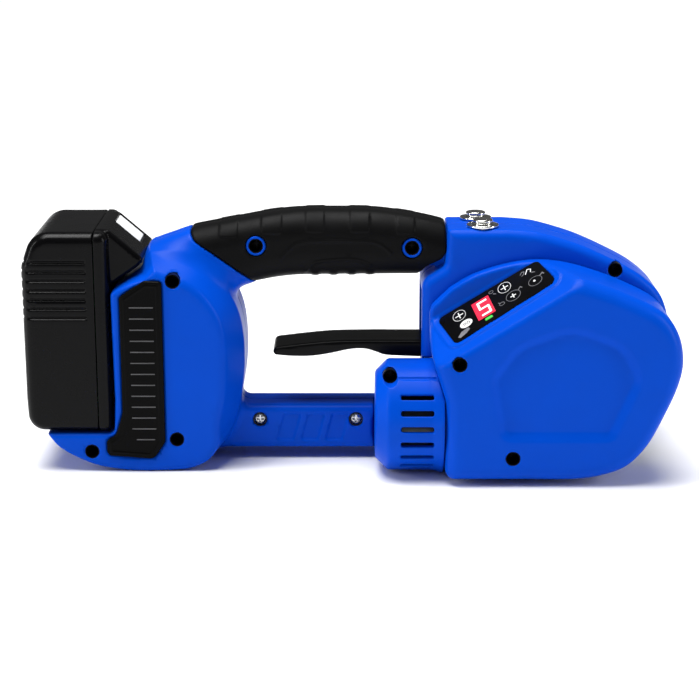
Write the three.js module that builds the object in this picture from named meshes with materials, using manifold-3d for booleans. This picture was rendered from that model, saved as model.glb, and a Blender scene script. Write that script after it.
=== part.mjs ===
// Hand-held battery strapping machine, millimetres, +Z up.
// +X points from the battery to the head's nose, -Y is the gear cover's side, Z = 0 is the plane it rests on.
import * as THREE from 'three';
import { mergeVertices } from 'three/addons/utils/BufferGeometryUtils.js';
import Module from 'manifold-3d';

const wasm = await Module();
wasm.setup();

// ---------------------------------------------------------------- driving dimensions

const LENGTH = 352; // battery's back to the head's nose
const WIDTH = 130; // gear cover's face to the base plate's open edge
const HEIGHT = 140; // resting plane to the top of the grip
const WALL = 2.6; // moulded shells
const GAP = 0.3; // clearance between neighbours
const RUN = 0.35; // radial clearance of a turning shaft

const TAIL_LENGTH = 118.5; // battery's back to the handle opening
const HEAD_LENGTH = 137; // handle opening to the nose
const LOBE_WIDTH = 74;
const BAR_WIDTH = 28;
const BAR_LOW = 6;
const BAR_HIGH = 31;
const GRIP_WIDTH = 36;
const RUBBER = 4.4; // grip rubber over the handle's core
const HEAD_WIDTH = 44; // upper housing, between gear cover and side cover
const DECK_DROP = 8.8; // button deck below the top of the grip

const BATTERY_DEPTH = 47;
const BATTERY_WIDTH = 75;
const BATTERY_HEIGHT = 110;
const BATTERY_LOW = 22.6;
const SHELF_TOP = 21.6;
const BATTERY_WALL = 2.2;
const BATTERY_SEAM = 39.4; // case to cover, from the battery's back
const CELL_RADIUS = 9.15;
const CELL_LENGTH = 65;
const CELL_PITCH = 18.7;
const CELLS_PER_ROW = 5;
const RAIL_WIDTH = 40;
const RAIL_DEPTH = 4.6;

const BARREL_RADIUS = 30.5;
const BARREL_LENGTH = 37;
const BARREL_CHAMFER = 7; // cone round the barrel's closed end
const MOTOR_Z = 31;
const BARREL_PAST_MIDDLE = 0.5; // barrel's reach past the middle plane
const MOTOR_RADIUS = 21;
const MOTOR_LENGTH = 44;
const VENT_COUNT = 6;
const VENT_WIDTH = 2.6;
const VENT_PITCH_DEG = 16.7;
const VENT_LENGTH = 18;
const SHAFT = 3; // motor and eccentric shaft radius

const PLATE_THICK = 6;
const INSERT_PROUD = 0.5; // hardened inserts above the base plate
const WHEEL_RADIUS = 18;
const WHEEL_WIDTH = 15;
const WHEEL_TEETH = 36;
const STRAP_TRACK = 22; // strap track's inner edge, in from the open edge
const TRACK_WIDTH = 16;
const ROCKER_THICK = 17;
const PIVOT_RADIUS = 8;
const GEARBOX_RADIUS = 12;

const PINION_TEETH = 10;
const BEVEL_TEETH = 20;
const PINION_RADIUS = 6.5; // pitch radius at the large end
const BEVEL_FACE = 5;
const BEVEL_BACK = 1.6;
const DRIVE_PULLEY_RADIUS = 9.6;
const DRIVEN_PULLEY_RADIUS = 6.4;
const BELT_THICK = 1.8;
const BELT_WIDTH = 9;
const ECCENTRIC_OFFSET = 1;
const SHOE_TRAVEL = 1.25;

const LEVER_WIDTH = 27;
const LEVER_TIP_CLEAR = 15.5; // lever tip to the tail's front wall

const BUTTON_RADIUS = 5.5;
const BEZEL_RADIUS = 8.8;
const BUTTON_SPREAD = 11;

const PANEL_LENGTH = 66;
const PANEL_WIDTH = 26;
const PANEL_THICK = 0.8;

const HEAD_HOLE = 3.9; // counterbore radius over a screw head
const SCREW_HEAD = 3.5;
const SCREW_SHANK = 1.7;
const HEAD_THICK = 2.6;
const COVER_SINK = 8;
const BOSS = 4.9;

// ---------------------------------------------------------------- stations

const fromTail = (d) => -LENGTH / 2 + d;
const fromNose = (d) => LENGTH / 2 - d;
const below = (d) => HEIGHT - d;
const FACE_Y = -WIDTH / 2;
const OPEN_Y = WIDTH / 2;
const OPENING_LEFT = fromTail(TAIL_LENGTH);
const OPENING_RIGHT = fromNose(HEAD_LENGTH);
const BATTERY_TOP = BATTERY_LOW + BATTERY_HEIGHT;
const MOTOR_Y = BARREL_PAST_MIDDLE - BARREL_RADIUS;
const BARREL_LEFT = OPENING_RIGHT - 25.5;
const barrelEnd = BARREL_LEFT + BARREL_LENGTH;
const MOTOR_LEFT = BARREL_LEFT + 14.5;
const COVER_BACK = -HEAD_WIDTH / 2 - GAP;
const CASTING_LEFT = fromNose(130);
const CASTING_NEAR = COVER_BACK + 2 * GAP;
const CASTING_FAR = HEAD_WIDTH / 2 - 2;
const CROSS_X = fromNose(76);
const WHEEL_X = fromNose(120);
const WHEEL_Z = PLATE_THICK + INSERT_PROUD + GAP + WHEEL_RADIUS;
const ECCENTRIC_X = fromNose(38);
const ECCENTRIC_Z = MOTOR_Z + 13;
const TRACK_MID = OPEN_Y - STRAP_TRACK + TRACK_WIDTH / 2;
const TRACK_NEAR = TRACK_MID - TRACK_WIDTH / 2;
const TRACK_FAR = TRACK_MID + TRACK_WIDTH / 2;
const ROCKER_FAR = TRACK_NEAR - 1.4;
const ROCKER_NEAR = ROCKER_FAR - ROCKER_THICK;
const BELT_NEAR = FACE_Y + WALL + 3.4;
const BELT_FAR = BELT_NEAR + BELT_WIDTH;
const DECK_Z = below(DECK_DROP);
const SPLIT = GAP / 2;

// ---------------------------------------------------------------- materials

const finish = (color, roughness, metalness) =>
  new THREE.MeshStandardMaterial({ color, roughness, metalness });
const blue = finish(0x0a5fe6, 0.42, 0);
const rubber = finish(0x17181a, 0.8, 0);
const blackPlastic = finish(0x101113, 0.4, 0);
const overlayFilm = finish(0x0c0d10, 0.3, 0);
const paleButton = finish(0xe4e6e8, 0.45, 0);
const redLens = finish(0xd81424, 0.3, 0);
const greenLens = finish(0x30c25a, 0.3, 0);
const boardGreen = finish(0x1f6b3d, 0.55, 0);
const cellWrap = finish(0x2d8a9c, 0.4, 0);
const steel = finish(0x9da1a6, 0.35, 1);
const darkSteel = finish(0x4c4f54, 0.4, 1);
const aluminium = finish(0xb4b7bb, 0.45, 1);
const brass = finish(0xc09a4a, 0.35, 1);

// ---------------------------------------------------------------- solids

// Wraps a closed geometry as a solid, whichever way its faces were wound
function solid(geometry) {
  geometry.deleteAttribute('normal');
  geometry.deleteAttribute('uv');
  const welded = mergeVertices(geometry, 1e-4);
  const place = welded.attributes.position;
  const index = welded.index.array;
  const corner = [0, 1, 2].map(() => new THREE.Vector3());
  const faces = [];
  let volume = 0;
  for (let i = 0; i < index.length; i += 3) {
    const [a, b, c] = index.slice(i, i + 3);
    if (a === b || b === c || a === c) continue;
    [a, b, c].forEach((v, k) => corner[k].fromBufferAttribute(place, v));
    volume += corner[0].dot(corner[1].clone().cross(corner[2]));
    faces.push(a, b, c);
  }
  if (volume < 0) faces.reverse();
  const mesh = new wasm.Mesh({
    numProp: 3,
    vertProperties: new Float32Array(place.array),
    triVerts: new Uint32Array(faces),
  });
  mesh.merge();
  return new wasm.Manifold(mesh);
}

function named(name, body, material) {
  const data = body.getMesh();
  const geometry = new THREE.BufferGeometry();
  geometry.setAttribute('position', new THREE.BufferAttribute(data.vertProperties, 3));
  geometry.setIndex(new THREE.BufferAttribute(data.triVerts, 1));
  geometry.computeVertexNormals();
  const mesh = new THREE.Mesh(geometry, material);
  mesh.name = name;
  return mesh;
}

const join = (...bodies) => bodies.reduce((all, body) => all.add(body));
const cut = (body, ...tools) => tools.reduce((rest, tool) => rest.subtract(tool), body);

function block(x0, x1, y0, y1, z0, z1) {
  const box = new THREE.BoxGeometry(x1 - x0, y1 - y0, z1 - z0);
  return solid(box.translate((x0 + x1) / 2, (y0 + y1) / 2, (z0 + z1) / 2));
}

// Round bars along Y, X and Z
function barY(x, z, radius, y0, y1, sides = 12) {
  const bar = new THREE.CylinderGeometry(radius, radius, y1 - y0, sides);
  return solid(bar.translate(x, (y0 + y1) / 2, z));
}

function barX(y, z, radius, x0, x1, sides = 12) {
  const bar = new THREE.CylinderGeometry(radius, radius, x1 - x0, sides).rotateZ(Math.PI / 2);
  return solid(bar.translate((x0 + x1) / 2, y, z));
}

function barZ(x, y, radius, z0, z1, sides = 12) {
  const bar = new THREE.CylinderGeometry(radius, radius, z1 - z0, sides).rotateX(Math.PI / 2);
  return solid(bar.translate(x, y, (z0 + z1) / 2));
}

// ---------------------------------------------------------------- rounded outlines

const ARC_STEP = 0.5; // radians of turn for each facet of a rounded corner

// A corner of the outline, with the unit vectors back and ahead along its two edges
function edgesAt(corners, i) {
  const here = new THREE.Vector2(corners[i][0], corners[i][1]);
  const before = corners.at(i - 1);
  const after = corners[(i + 1) % corners.length];
  const back = new THREE.Vector2(before[0], before[1]).sub(here);
  const ahead = new THREE.Vector2(after[0], after[1]).sub(here);
  const room = 0.49 * Math.min(back.length(), ahead.length());
  return { here, back: back.normalize(), ahead: ahead.normalize(), room };
}

// Half the angle between a corner's edges
const halfAngle = (back, ahead) => Math.acos(THREE.MathUtils.clamp(back.dot(ahead), -1, 1)) / 2;

// Gives each corner [x, z, radius] the number of facets of its arc, which its insets keep
function withFacets(corners) {
  return corners.map(([x, z, radius = 0, facets], i) => {
    const { back, ahead } = edgesAt(corners, i);
    const turn = Math.PI - 2 * halfAngle(back, ahead);
    return [x, z, radius, facets ?? (radius > 0 ? Math.max(1, Math.ceil(turn / ARC_STEP)) : 0)];
  });
}

// Corners become points, each rounded corner an arc
function rounded(corners) {
  return corners.flatMap(([, , radius, facets], i) => {
    const { here, back, ahead, room } = edgesAt(corners, i);
    if (facets === 0) return [here];
    const half = halfAngle(back, ahead);
    const reach = Math.min(radius / Math.tan(half), room);
    const arm = reach * Math.tan(half);
    const middle = back.clone().add(ahead).normalize();
    const centre = here.clone().addScaledVector(middle, arm / Math.sin(half));
    const start = here.clone().addScaledVector(back, reach).sub(centre);
    const turn = Math.sign(ahead.cross(back)) * (Math.PI - 2 * half);
    return Array.from({ length: facets + 1 }, (_, k) =>
      start.clone().rotateAround(new THREE.Vector2(), (turn * k) / facets).add(centre));
  });
}

// Moves every edge of a counter-clockwise outline inward by d; a negative d grows it
function inset(corners, d) {
  return withFacets(corners).map(([, , radius, facets], i) => {
    const { here, back, ahead } = edgesAt(corners, i);
    const inBack = new THREE.Vector2(back.y, -back.x);
    const inAhead = new THREE.Vector2(-ahead.y, ahead.x);
    const concave = back.cross(ahead) > 0;
    const share = d / (1 + inBack.dot(inAhead));
    const move = inBack.add(inAhead).multiplyScalar(share);
    return [here.x + move.x, here.y + move.y, Math.max(0.2, concave ? radius + d : radius - d), facets];
  });
}

// An outline in X and Z, carried along Y, with its near and far edges rounded over
function slab(corners, y0, y1, nearRound = 0, farRound = 0) {
  const steps = 2;
  const rings = [];
  const base = withFacets(corners);
  const addRing = (away, y) => {
    rings.push(rounded(inset(base, away)).map((p) => [p.x, y, p.y]));
  };
  for (let k = 0; k <= steps && nearRound > 0; k += 1) {
    const angle = (k / steps) * (Math.PI / 2);
    addRing(nearRound * (1 - Math.sin(angle)), y0 + nearRound * (1 - Math.cos(angle)));
  }
  if (nearRound <= 0) addRing(0, y0);
  if (farRound <= 0) addRing(0, y1);
  for (let k = steps; k >= 0 && farRound > 0; k -= 1) {
    const angle = (k / steps) * (Math.PI / 2);
    addRing(farRound * (1 - Math.sin(angle)), y1 - farRound * (1 - Math.cos(angle)));
  }
  return loft(rings);
}

// A bar that follows stations [x, low, high], its section a rectangle with rounded corners
function tunnel(stations, width, round, shrink = 0) {
  const rings = stations.map(([x, low, high]) => {
    const [y, z0, z1] = [width / 2 - shrink, low + shrink, high - shrink];
    const section = [[-y, z0, round], [y, z0, round], [y, z1, round], [-y, z1, round]];
    return rounded(withFacets(section)).map((p) => [x, p.x, p.y]);
  });
  return loft(rings, ([, y, z]) => new THREE.Vector2(y, z));
}

// A closed skin over rings that all have the same number of points
function loft(rings, flatten = ([x, , z]) => new THREE.Vector2(x, z)) {
  const count = rings[0].length;
  const index = [];
  for (let r = 0; r + 1 < rings.length; r += 1) {
    for (let i = 0; i < count; i += 1) {
      const j = (i + 1) % count;
      const a = r * count;
      const b = a + count;
      index.push(a + i, b + i, a + j, a + j, b + i, b + j);
    }
  }
  const last = (rings.length - 1) * count;
  THREE.ShapeUtils.triangulateShape(rings[0].map(flatten), []).forEach(([a, b, c]) =>
    index.push(a, b, c));
  THREE.ShapeUtils.triangulateShape(rings.at(-1).map(flatten), []).forEach(([a, b, c]) =>
    index.push(last + c, last + b, last + a));
  const geometry = new THREE.BufferGeometry();
  geometry.setAttribute('position', new THREE.Float32BufferAttribute(rings.flat(2), 3));
  geometry.setIndex(index);
  return solid(geometry);
}

// ---------------------------------------------------------------- outlines, counter-clockwise

const lobe = [
  [fromTail(10.5), SHELF_TOP, 1], [fromTail(13.5), 12, 8], [fromTail(54), 0, 45], [fromTail(95), 0, 20],
  [fromTail(112.5), 17, 14], [OPENING_LEFT, 62, 60], [fromTail(111), below(41), 25],
  [fromTail(95), below(23), 18], [fromTail(68), below(21), 2], [fromTail(62.5), BATTERY_TOP - 22.4, 3],
  [fromTail(BATTERY_DEPTH + 0.6), BATTERY_TOP - 33, 3], [fromTail(BATTERY_DEPTH + 1.4), 40, 6],
  [fromTail(BATTERY_DEPTH + 0.6), SHELF_TOP, 2.5],
];
const neck = [
  [fromTail(75), below(60), 4], [fromTail(113), below(60), 4], [fromTail(123), below(41.5), 6],
  [fromTail(140), below(36), 3], [fromTail(120), below(12), 3], [fromTail(88), below(10.6), 3],
  [fromTail(73), below(16), 6], [fromTail(66.5), below(21), 3],
];
const bar = [
  [fromTail(100), BAR_LOW, 3], [CASTING_LEFT - GAP, BAR_LOW, 0.5], [CASTING_LEFT - GAP, BAR_HIGH, 0.5],
  [fromTail(100), BAR_HIGH, 4],
];
const grip = [
  [fromTail(124), below(39.5), 3], [fromNose(139), below(36), 4], [fromNose(134.5), below(30), 3],
  [fromNose(126), below(25.5), 4], [fromNose(123.6), below(21), 2], [fromNose(124), below(7), 3],
  [fromNose(161), HEIGHT, 150], [fromTail(146), HEIGHT, 150], [fromTail(88), below(10), 2.5],
  [fromTail(91.5), below(16), 3], [fromTail(101), below(22), 6], [fromTail(117), below(33.5), 5],
];
// The handle's underside and top, from the tail to the head
const handleLine = [
  [fromTail(60), below(64), below(24)], [fromTail(73), below(60), below(16)],
  [fromTail(88), below(52), below(10.2)], [fromTail(117), below(43), below(4.4)],
  [fromTail(130), below(38.5), below(1.8)], [fromTail(146), below(36.4), HEIGHT],
  [fromNose(161), below(36), HEIGHT], [fromNose(139), below(36), below(2.8)],
  [fromNose(128), below(36), below(5.6)], [fromNose(118), below(36), below(9.2)],
];
const housing = [
  [OPENING_RIGHT, 56, 2], [fromNose(4), 56, 2], [fromNose(2.2), 87, 18], [fromNose(12), below(36.5), 24],
  [fromNose(52), below(17.2), 70], [fromNose(88), DECK_Z, 60], [fromNose(123.2), DECK_Z, 1.5],
  [fromNose(124.5), below(29), 4], [OPENING_RIGHT, below(37), 8],
];
const gearSide = [
  [fromNose(125), 3, 5], [fromNose(49), 3, 30], [fromNose(25), 9, 16], [fromNose(15.5), 21, 30],
  [fromNose(0), 58, 20], [fromNose(0), 80, 14], [fromNose(13), below(45), 20], [fromNose(30), below(36.5), 40],
  [fromNose(57), below(26), 40], [fromNose(76), below(24), 30], [fromNose(93), below(27), 60],
  [fromNose(120), below(37), 15], [fromNose(133), below(50), 8], [fromNose(133), 71, 8], [fromNose(125), 46, 15],
];
const pad = [
  [fromTail(43.5), 9.5, 3], [fromTail(69), 7.5, 5], [fromTail(75.4), 17, 6], [fromTail(75.4), BATTERY_TOP - 26, 2],
  [fromTail(66), BATTERY_TOP - 25.5, 3], [fromTail(52.5), BATTERY_TOP - 34.5, 3], [fromTail(52.5), 33, 10],
  [fromTail(48.5), 21, 3], [fromTail(43.5), 18, 3],
];

// ---------------------------------------------------------------- fixings

const lobeFixings = [
  [fromTail(81.2), below(33.5)], [fromTail(81.7), 18.3], [fromTail(35.2), 11.4],
];
const barFixings = [
  [fromTail(126), 22.8], [fromNose(172.7), 22.8],
];
const gripFixings = [
  [fromTail(125), below(18.2)], [fromNose(142.4), below(19.3)],
];
const housingFixing = [fromNose(32.7), below(30.5)];
const coverTopFixing = [fromNose(118.3), 68];
const coverLowFixing = [fromNose(89.4), 16.3];
const barrelFixing = [BARREL_LEFT + 8, MOTOR_Z + 25];

// A pan-head screw lying along Y with its head toward -Y
function screw(name, [x, z], headY, length) {
  const drive = join(
    block(x - 1.9, x + 1.9, headY - 1, headY + 1.4, z - 0.45, z + 0.45),
    block(x - 0.45, x + 0.45, headY - 1, headY + 1.4, z - 1.9, z + 1.9));
  const head = barY(x, z, SCREW_HEAD, headY, headY + HEAD_THICK, 10).subtract(drive);
  return named(name, head.add(barY(x, z, SCREW_SHANK, headY + 2.5, headY + length, 6)), darkSteel);
}

// The column round a screw in the near shell, the column it bites into in the far shell, and their holes
const SCREW_LENGTH = 24;
const shellFixings = [
  ...lobeFixings.map((at) => ({ at, face: -LOBE_WIDTH / 2, sink: 12 })),
  ...barFixings.map((at) => ({ at, face: -BAR_WIDTH / 2, sink: 1.2 })),
  ...gripFixings.map((at) => ({ at, face: -GRIP_WIDTH / 2 + 0.6, sink: 5 })),
  { at: housingFixing, face: -HEAD_WIDTH / 2, sink: 6 },
];

function nearColumn({ at: [x, z], face }) {
  return barY(x, z, BOSS, face + 0.2, -SPLIT, 8);
}

function farColumn({ at: [x, z], face }) {
  return barY(x, z, BOSS, SPLIT, -face - 0.2, 8);
}

function screwHole({ at: [x, z], face, sink }) {
  return join(
    barY(x, z, HEAD_HOLE, face - 3, face + sink + HEAD_THICK + GAP),
    barY(x, z, SCREW_SHANK + GAP, face, face + sink + SCREW_LENGTH + 1, 8));
}

// The coil spring between the lever's root and the upper housing
const SPRING = { x: WHEEL_X - 4, low: 69.6, high: 92, radius: 6, wire: 0.8, turns: 5 };

// ---------------------------------------------------------------- handle shells, grip and pads

const half = 400;
const nearHalf = block(-half, half, -half, -SPLIT, -half, half);
const farHalf = block(-half, half, SPLIT, half, -half, half);

function centred(corners, width, round) {
  return slab(corners, -width / 2, width / 2, round, round);
}

function hollow(corners, width) {
  return slab(inset(corners, WALL), -width / 2 + WALL, width / 2 - WALL);
}

const clip = (corners) => slab(corners, -half, half);
const GRIP_ROUND = 13;
const coreSpan = [
  [fromTail(97), below(40), 3], [fromNose(121), below(36), 0], [fromNose(121), HEIGHT, 0],
  [fromTail(97), HEIGHT, 3],
];

function cradle(extra) {
  return join(
    tunnel(handleLine, GRIP_WIDTH, GRIP_ROUND, -extra).intersect(clip(inset(grip, -extra))),
    barX(MOTOR_Y, MOTOR_Z, BARREL_RADIUS + extra, BARREL_LEFT - extra, barrelEnd + extra, 36));
}

const coreOf = (shrink) => tunnel(handleLine, GRIP_WIDTH, GRIP_ROUND - RUBBER, shrink)
  .intersect(clip(inset(coreSpan, shrink > RUBBER ? -4 : 0)));
const ringBosses = gripFixings.map(([x, z]) =>
  barY(x, z, BOSS + 0.6, -GRIP_WIDTH / 2 + 0.6, GRIP_WIDTH / 2 - 0.6));
const handleCore = join(coreOf(RUBBER), ...ringBosses);
const outside = join(
  centred(lobe, LOBE_WIDTH, 5), tunnel(handleLine, GRIP_WIDTH, GRIP_ROUND).intersect(clip(neck)),
  centred(bar, BAR_WIDTH, 4),
  centred(housing, HEAD_WIDTH, 5));
const handleBody = outside.subtract(cradle(GAP)).add(handleCore);
const inside = join(hollow(lobe, LOBE_WIDTH), hollow(bar, BAR_WIDTH),
  tunnel(handleLine, GRIP_WIDTH, GRIP_ROUND, WALL).intersect(clip(inset(neck, WALL))),
  hollow(housing, HEAD_WIDTH),
  block(OPENING_RIGHT + WALL, fromNose(4) - WALL, -HEAD_WIDTH / 2 + WALL, HEAD_WIDTH / 2 - WALL, 50, 66));
const handleInside = inside.subtract(cradle(WALL)).add(coreOf(RUBBER + WALL));

// Pads lie in shallow pockets in both sides of the tail
const POCKET = 1.2;
const PAD_PROUD = 1.4;
function padPocket(side) {
  const low = side * (LOBE_WIDTH / 2 - POCKET);
  const high = side * (LOBE_WIDTH / 2 + 10);
  return slab(inset(pad, -GAP), Math.min(low, high), Math.max(low, high));
}

function bumperPad(name, side) {
  const low = LOBE_WIDTH / 2 - POCKET + GAP;
  const high = LOBE_WIDTH / 2 + PAD_PROUD;
  const sheet = side < 0 ? slab(pad, -high, -low, 1.2, 0) : slab(pad, low, high, 0, 1.2);
  const slots = [];
  const slotCount = 12;
  const slotPitch = 6.1;
  for (let k = 0; k < slotCount; k += 1) {
    const z = BATTERY_TOP - 40 - k * slotPitch;
    const y = side * high;
    slots.push(block(fromTail(58), fromTail(71), y - 1, y + 1, z - 0.8, z + 0.8));
  }
  return named(name, cut(sheet, ...slots), rubber);
}

// Slanted recesses along the bar's sides
function barRecess(k, side) {
  const x = fromTail(135.4) + k * (OPENING_RIGHT - OPENING_LEFT) * 0.14;
  const corners = [[x, 11, 1], [x + 9, 11, 1], [x + 13, 26, 1], [x + 4, 26, 1]];
  const face = side * (BAR_WIDTH / 2);
  return slab(corners, face - 0.9, face + 0.9);
}
const barRecesses = [-1, 1].flatMap((side) => [0, 1, 2].map((k) => barRecess(k, side)));

const buttons = [
  { name: 'tension_button', x: fromNose(104), y: -BUTTON_SPREAD },
  { name: 'weld_button', x: fromNose(106.5), y: BUTTON_SPREAD },
];
const deckHoles = buttons.map(({ x, y }) => barZ(x, y, BUTTON_RADIUS + 1.8, DECK_Z - 15, DECK_Z + 9));
const leverSlot = join(
  block(OPENING_RIGHT - 6, OPENING_RIGHT + WALL + 2, -LEVER_WIDTH / 2 - 1.2, LEVER_WIDTH / 2 + 1.2, 50, 96),
  block(OPENING_RIGHT, WHEEL_X + 10, -LEVER_WIDTH / 2 - 1.2, LEVER_WIDTH / 2 + 1.2, 50, 66),
  block(OPENING_RIGHT + 6, WHEEL_X + 20, HEAD_WIDTH / 2 - WALL - 1, HEAD_WIDTH / 2 + 1, 50, 84));

const springSeat = block(OPENING_RIGHT + 4, WHEEL_X + 6, -HEAD_WIDTH / 2 + 1, HEAD_WIDTH / 2 - 1,
  SPRING.high + GAP, SPRING.high + 2.5);

function handleShell(name, keep, columns) {
  const columnBodies = shellFixings.map(columns).map((column) => column.intersect(handleBody));
  const shell = cut(handleBody, handleInside).add(join(springSeat, ...columnBodies)).intersect(keep);
  const lug = keep === nearHalf
    ? [barY(coverTopFixing[0], coverTopFixing[1], BOSS, -HEAD_WIDTH / 2 + 0.5, -HEAD_WIDTH / 2 + 6.4)]
    : [];
  return named(name, cut(join(shell, ...lug), ...shellFixings.map(screwHole), ...deckHoles, leverSlot,
    ...barRecesses, padPocket(-1), padPocket(1),
    barY(...coverTopFixing, SCREW_SHANK + GAP, -60, 0)), blue);
}

const nearShell = handleShell('handle_shell_near', nearHalf, nearColumn);
const farShell = handleShell('handle_shell_far', farHalf, farColumn);

const rubberBody = cut(tunnel(handleLine, GRIP_WIDTH, GRIP_ROUND).intersect(clip(grip)),
  coreOf(RUBBER - GAP), ...gripFixings.map(([x, z]) => barY(x, z, BOSS + 0.6 + GAP, -half, half)));
const gripNear = named('grip_near', rubberBody.intersect(nearHalf), rubber);
const gripFar = named('grip_far', rubberBody.intersect(farHalf), rubber);

const shellScrews = shellFixings.map(({ at, face, sink }, i) =>
  screw(['tail_screw_top', 'tail_screw_front', 'tail_screw_rear', 'bar_screw_rear', 'bar_screw_front',
    'grip_screw_rear', 'grip_screw_front', 'housing_screw'][i], at, face + sink, SCREW_LENGTH));

// ---------------------------------------------------------------- gear cover and control panel

// The panel's own axes: along it, down its slope, and out of it
const panelAlong = new THREE.Vector3(0.85, 0, 0.526).normalize();
const panelDown = new THREE.Vector3(0.223, -0.906, -0.361);
panelDown.addScaledVector(panelAlong, -panelDown.dot(panelAlong)).normalize();
const panelOut = new THREE.Vector3().crossVectors(panelDown, panelAlong).normalize();
const PANEL_BACK = FACE_Y + 35;
const panelCorner = new THREE.Vector3(fromNose(132.2), PANEL_BACK, below(57));
const panelFrame = new THREE.Matrix4()
  .makeBasis(panelAlong, panelDown, panelOut.clone().negate())
  .setPosition(panelCorner);

// A box in the panel's axes: s along it, w down it, d into it
function onPanel(s0, s1, w0, w1, d0, d1) {
  const box = new THREE.BoxGeometry(s1 - s0, w1 - w0, d1 - d0);
  box.translate((s0 + s1) / 2, (w0 + w1) / 2, (d0 + d1) / 2);
  return solid(box.applyMatrix4(panelFrame));
}

// A lamp's block behind its window in the panel, or the window itself where grown
function lampOnPanel({ s, w, length, width }, grow, d0, d1) {
  return onPanel(s - length / 2 - grow, s + length / 2 + grow, w - width / 2 - grow, w + width / 2 + grow,
    d0, d1);
}

const PANEL_START = 3;
const PANEL_TOP = 0.8;
const DISPLAY = { s: 28.5, w: 12.5, length: 10.5, width: 15 };
const GREEN = { s: 28.9, w: 22.1, length: 4.4, width: 1.8 };
const LAMP_BACK = 7.6; // depth of the lamps' feet, on the board
const panelEnd = PANEL_START + PANEL_LENGTH;
const panelFoot = PANEL_TOP + PANEL_WIDTH;
const aboveFacet = (d) => onPanel(-60, 200, -0.1, 90, -90, d)
  .intersect(block(-half, half, -half, PANEL_BACK + d, -half, half));

const coverColumns = [coverTopFixing, coverLowFixing].map(([x, z]) =>
  barY(x, z, BOSS, FACE_Y + 1, COVER_BACK));
const coverHoles = [coverTopFixing, coverLowFixing].map(([x, z]) => join(
  barY(x, z, HEAD_HOLE, FACE_Y - 2, FACE_Y + COVER_SINK + HEAD_THICK + GAP),
  barY(x, z, SCREW_SHANK + GAP, FACE_Y, 0)));
const displayHole = lampOnPanel(DISPLAY, GAP, -5, 9);
const greenHole = lampOnPanel(GREEN, GAP, -5, 9);
const overlayPocket = onPanel(PANEL_START - GAP, panelEnd + GAP, PANEL_TOP - GAP, panelFoot + GAP,
  -5, PANEL_THICK + 0.3);
const motorMouth = barX(MOTOR_Y, MOTOR_Z, MOTOR_RADIUS + 2, OPENING_RIGHT - 10, fromNose(122), 32);

const coverOuter = slab(gearSide, FACE_Y, COVER_BACK, 8, 0).subtract(aboveFacet(0));
const coverInner = slab(inset(gearSide, WALL), FACE_Y + WALL, 0, 6, 0).subtract(aboveFacet(WALL + 1));
const gearCover = named('gear_cover', cut(
  cut(coverOuter, coverInner).add(join(...coverColumns).intersect(coverOuter)),
  ...coverHoles, displayHole, greenHole, overlayPocket, motorMouth), blue);

const overlay = named('control_panel', cut(
  onPanel(PANEL_START, panelEnd, PANEL_TOP, panelFoot, 0.3, PANEL_THICK),
  displayHole, greenHole).intersect(slab(inset(gearSide, 1), -half, half)), overlayFilm);
const display = named('led_display', lampOnPanel(DISPLAY, 0, 0.4, LAMP_BACK), redLens);
const statusLed = named('status_led', lampOnPanel(GREEN, 0, 0.4, LAMP_BACK), greenLens);
const panelBoard = named('panel_board', onPanel(16, 62, 2, 25, LAMP_BACK + 0.4, LAMP_BACK + 2), boardGreen);

// ---------------------------------------------------------------- motor barrel

function vents() {
  const slots = [];
  for (let k = 0; k < VENT_COUNT; k += 1) {
    const angle = THREE.MathUtils.degToRad((2 - k) * VENT_PITCH_DEG);
    const slot = new THREE.BoxGeometry(VENT_LENGTH, 14, VENT_WIDTH);
    slot.translate(0, -BARREL_RADIUS, 0).rotateX(-angle);
    slots.push(solid(slot.translate(BARREL_LEFT + 22.5, MOTOR_Y, MOTOR_Z)));
  }
  return slots;
}

const barrelShape = new THREE.LatheGeometry([
  [0, 0], [BARREL_RADIUS - BARREL_CHAMFER, 0], [BARREL_RADIUS, BARREL_CHAMFER],
  [BARREL_RADIUS, BARREL_LENGTH], [0, BARREL_LENGTH],
].map(([r, h]) => new THREE.Vector2(r, h)), 36);
const barrelOuter = solid(barrelShape.rotateZ(-Math.PI / 2).translate(BARREL_LEFT, MOTOR_Y, MOTOR_Z));
const barrelBore = join(
  barX(MOTOR_Y, MOTOR_Z, BARREL_RADIUS - WALL, BARREL_LEFT + BARREL_CHAMFER, barrelEnd + 5, 36),
  barX(MOTOR_Y, MOTOR_Z, BARREL_RADIUS - BARREL_CHAMFER - 1, BARREL_LEFT + 3, barrelEnd, 36));
const barrelKeepOut = join(slab(inset(gearSide, -GAP), -half, COVER_BACK + GAP),
  slab(inset(housing, -GAP), -HEAD_WIDTH / 2 - GAP, half),
  block(CASTING_LEFT - GAP, half, COVER_BACK, half, -half, half));
const barrelHead = MOTOR_Y - 10;
const barrelPost = barY(...barrelFixing, BOSS + 0.3, -half, barrelHead + 6.5).intersect(barrelOuter);
const motorBarrel = named('motor_barrel', cut(
  cut(barrelOuter, barrelBore).add(barrelPost).subtract(barrelKeepOut), ...vents(),
  barY(...barrelFixing, HEAD_HOLE, -half, barrelHead + HEAD_THICK + GAP),
  barY(...barrelFixing, SCREW_SHANK + GAP, -half, barrelHead + 5),
  barX(MOTOR_Y, MOTOR_Z, SHAFT + RUN, BARREL_LEFT + 1, BARREL_LEFT + 6, 16)), blue);
const barrelScrew = screw('barrel_screw', barrelFixing, barrelHead, 4.6);

// ---------------------------------------------------------------- battery

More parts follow.
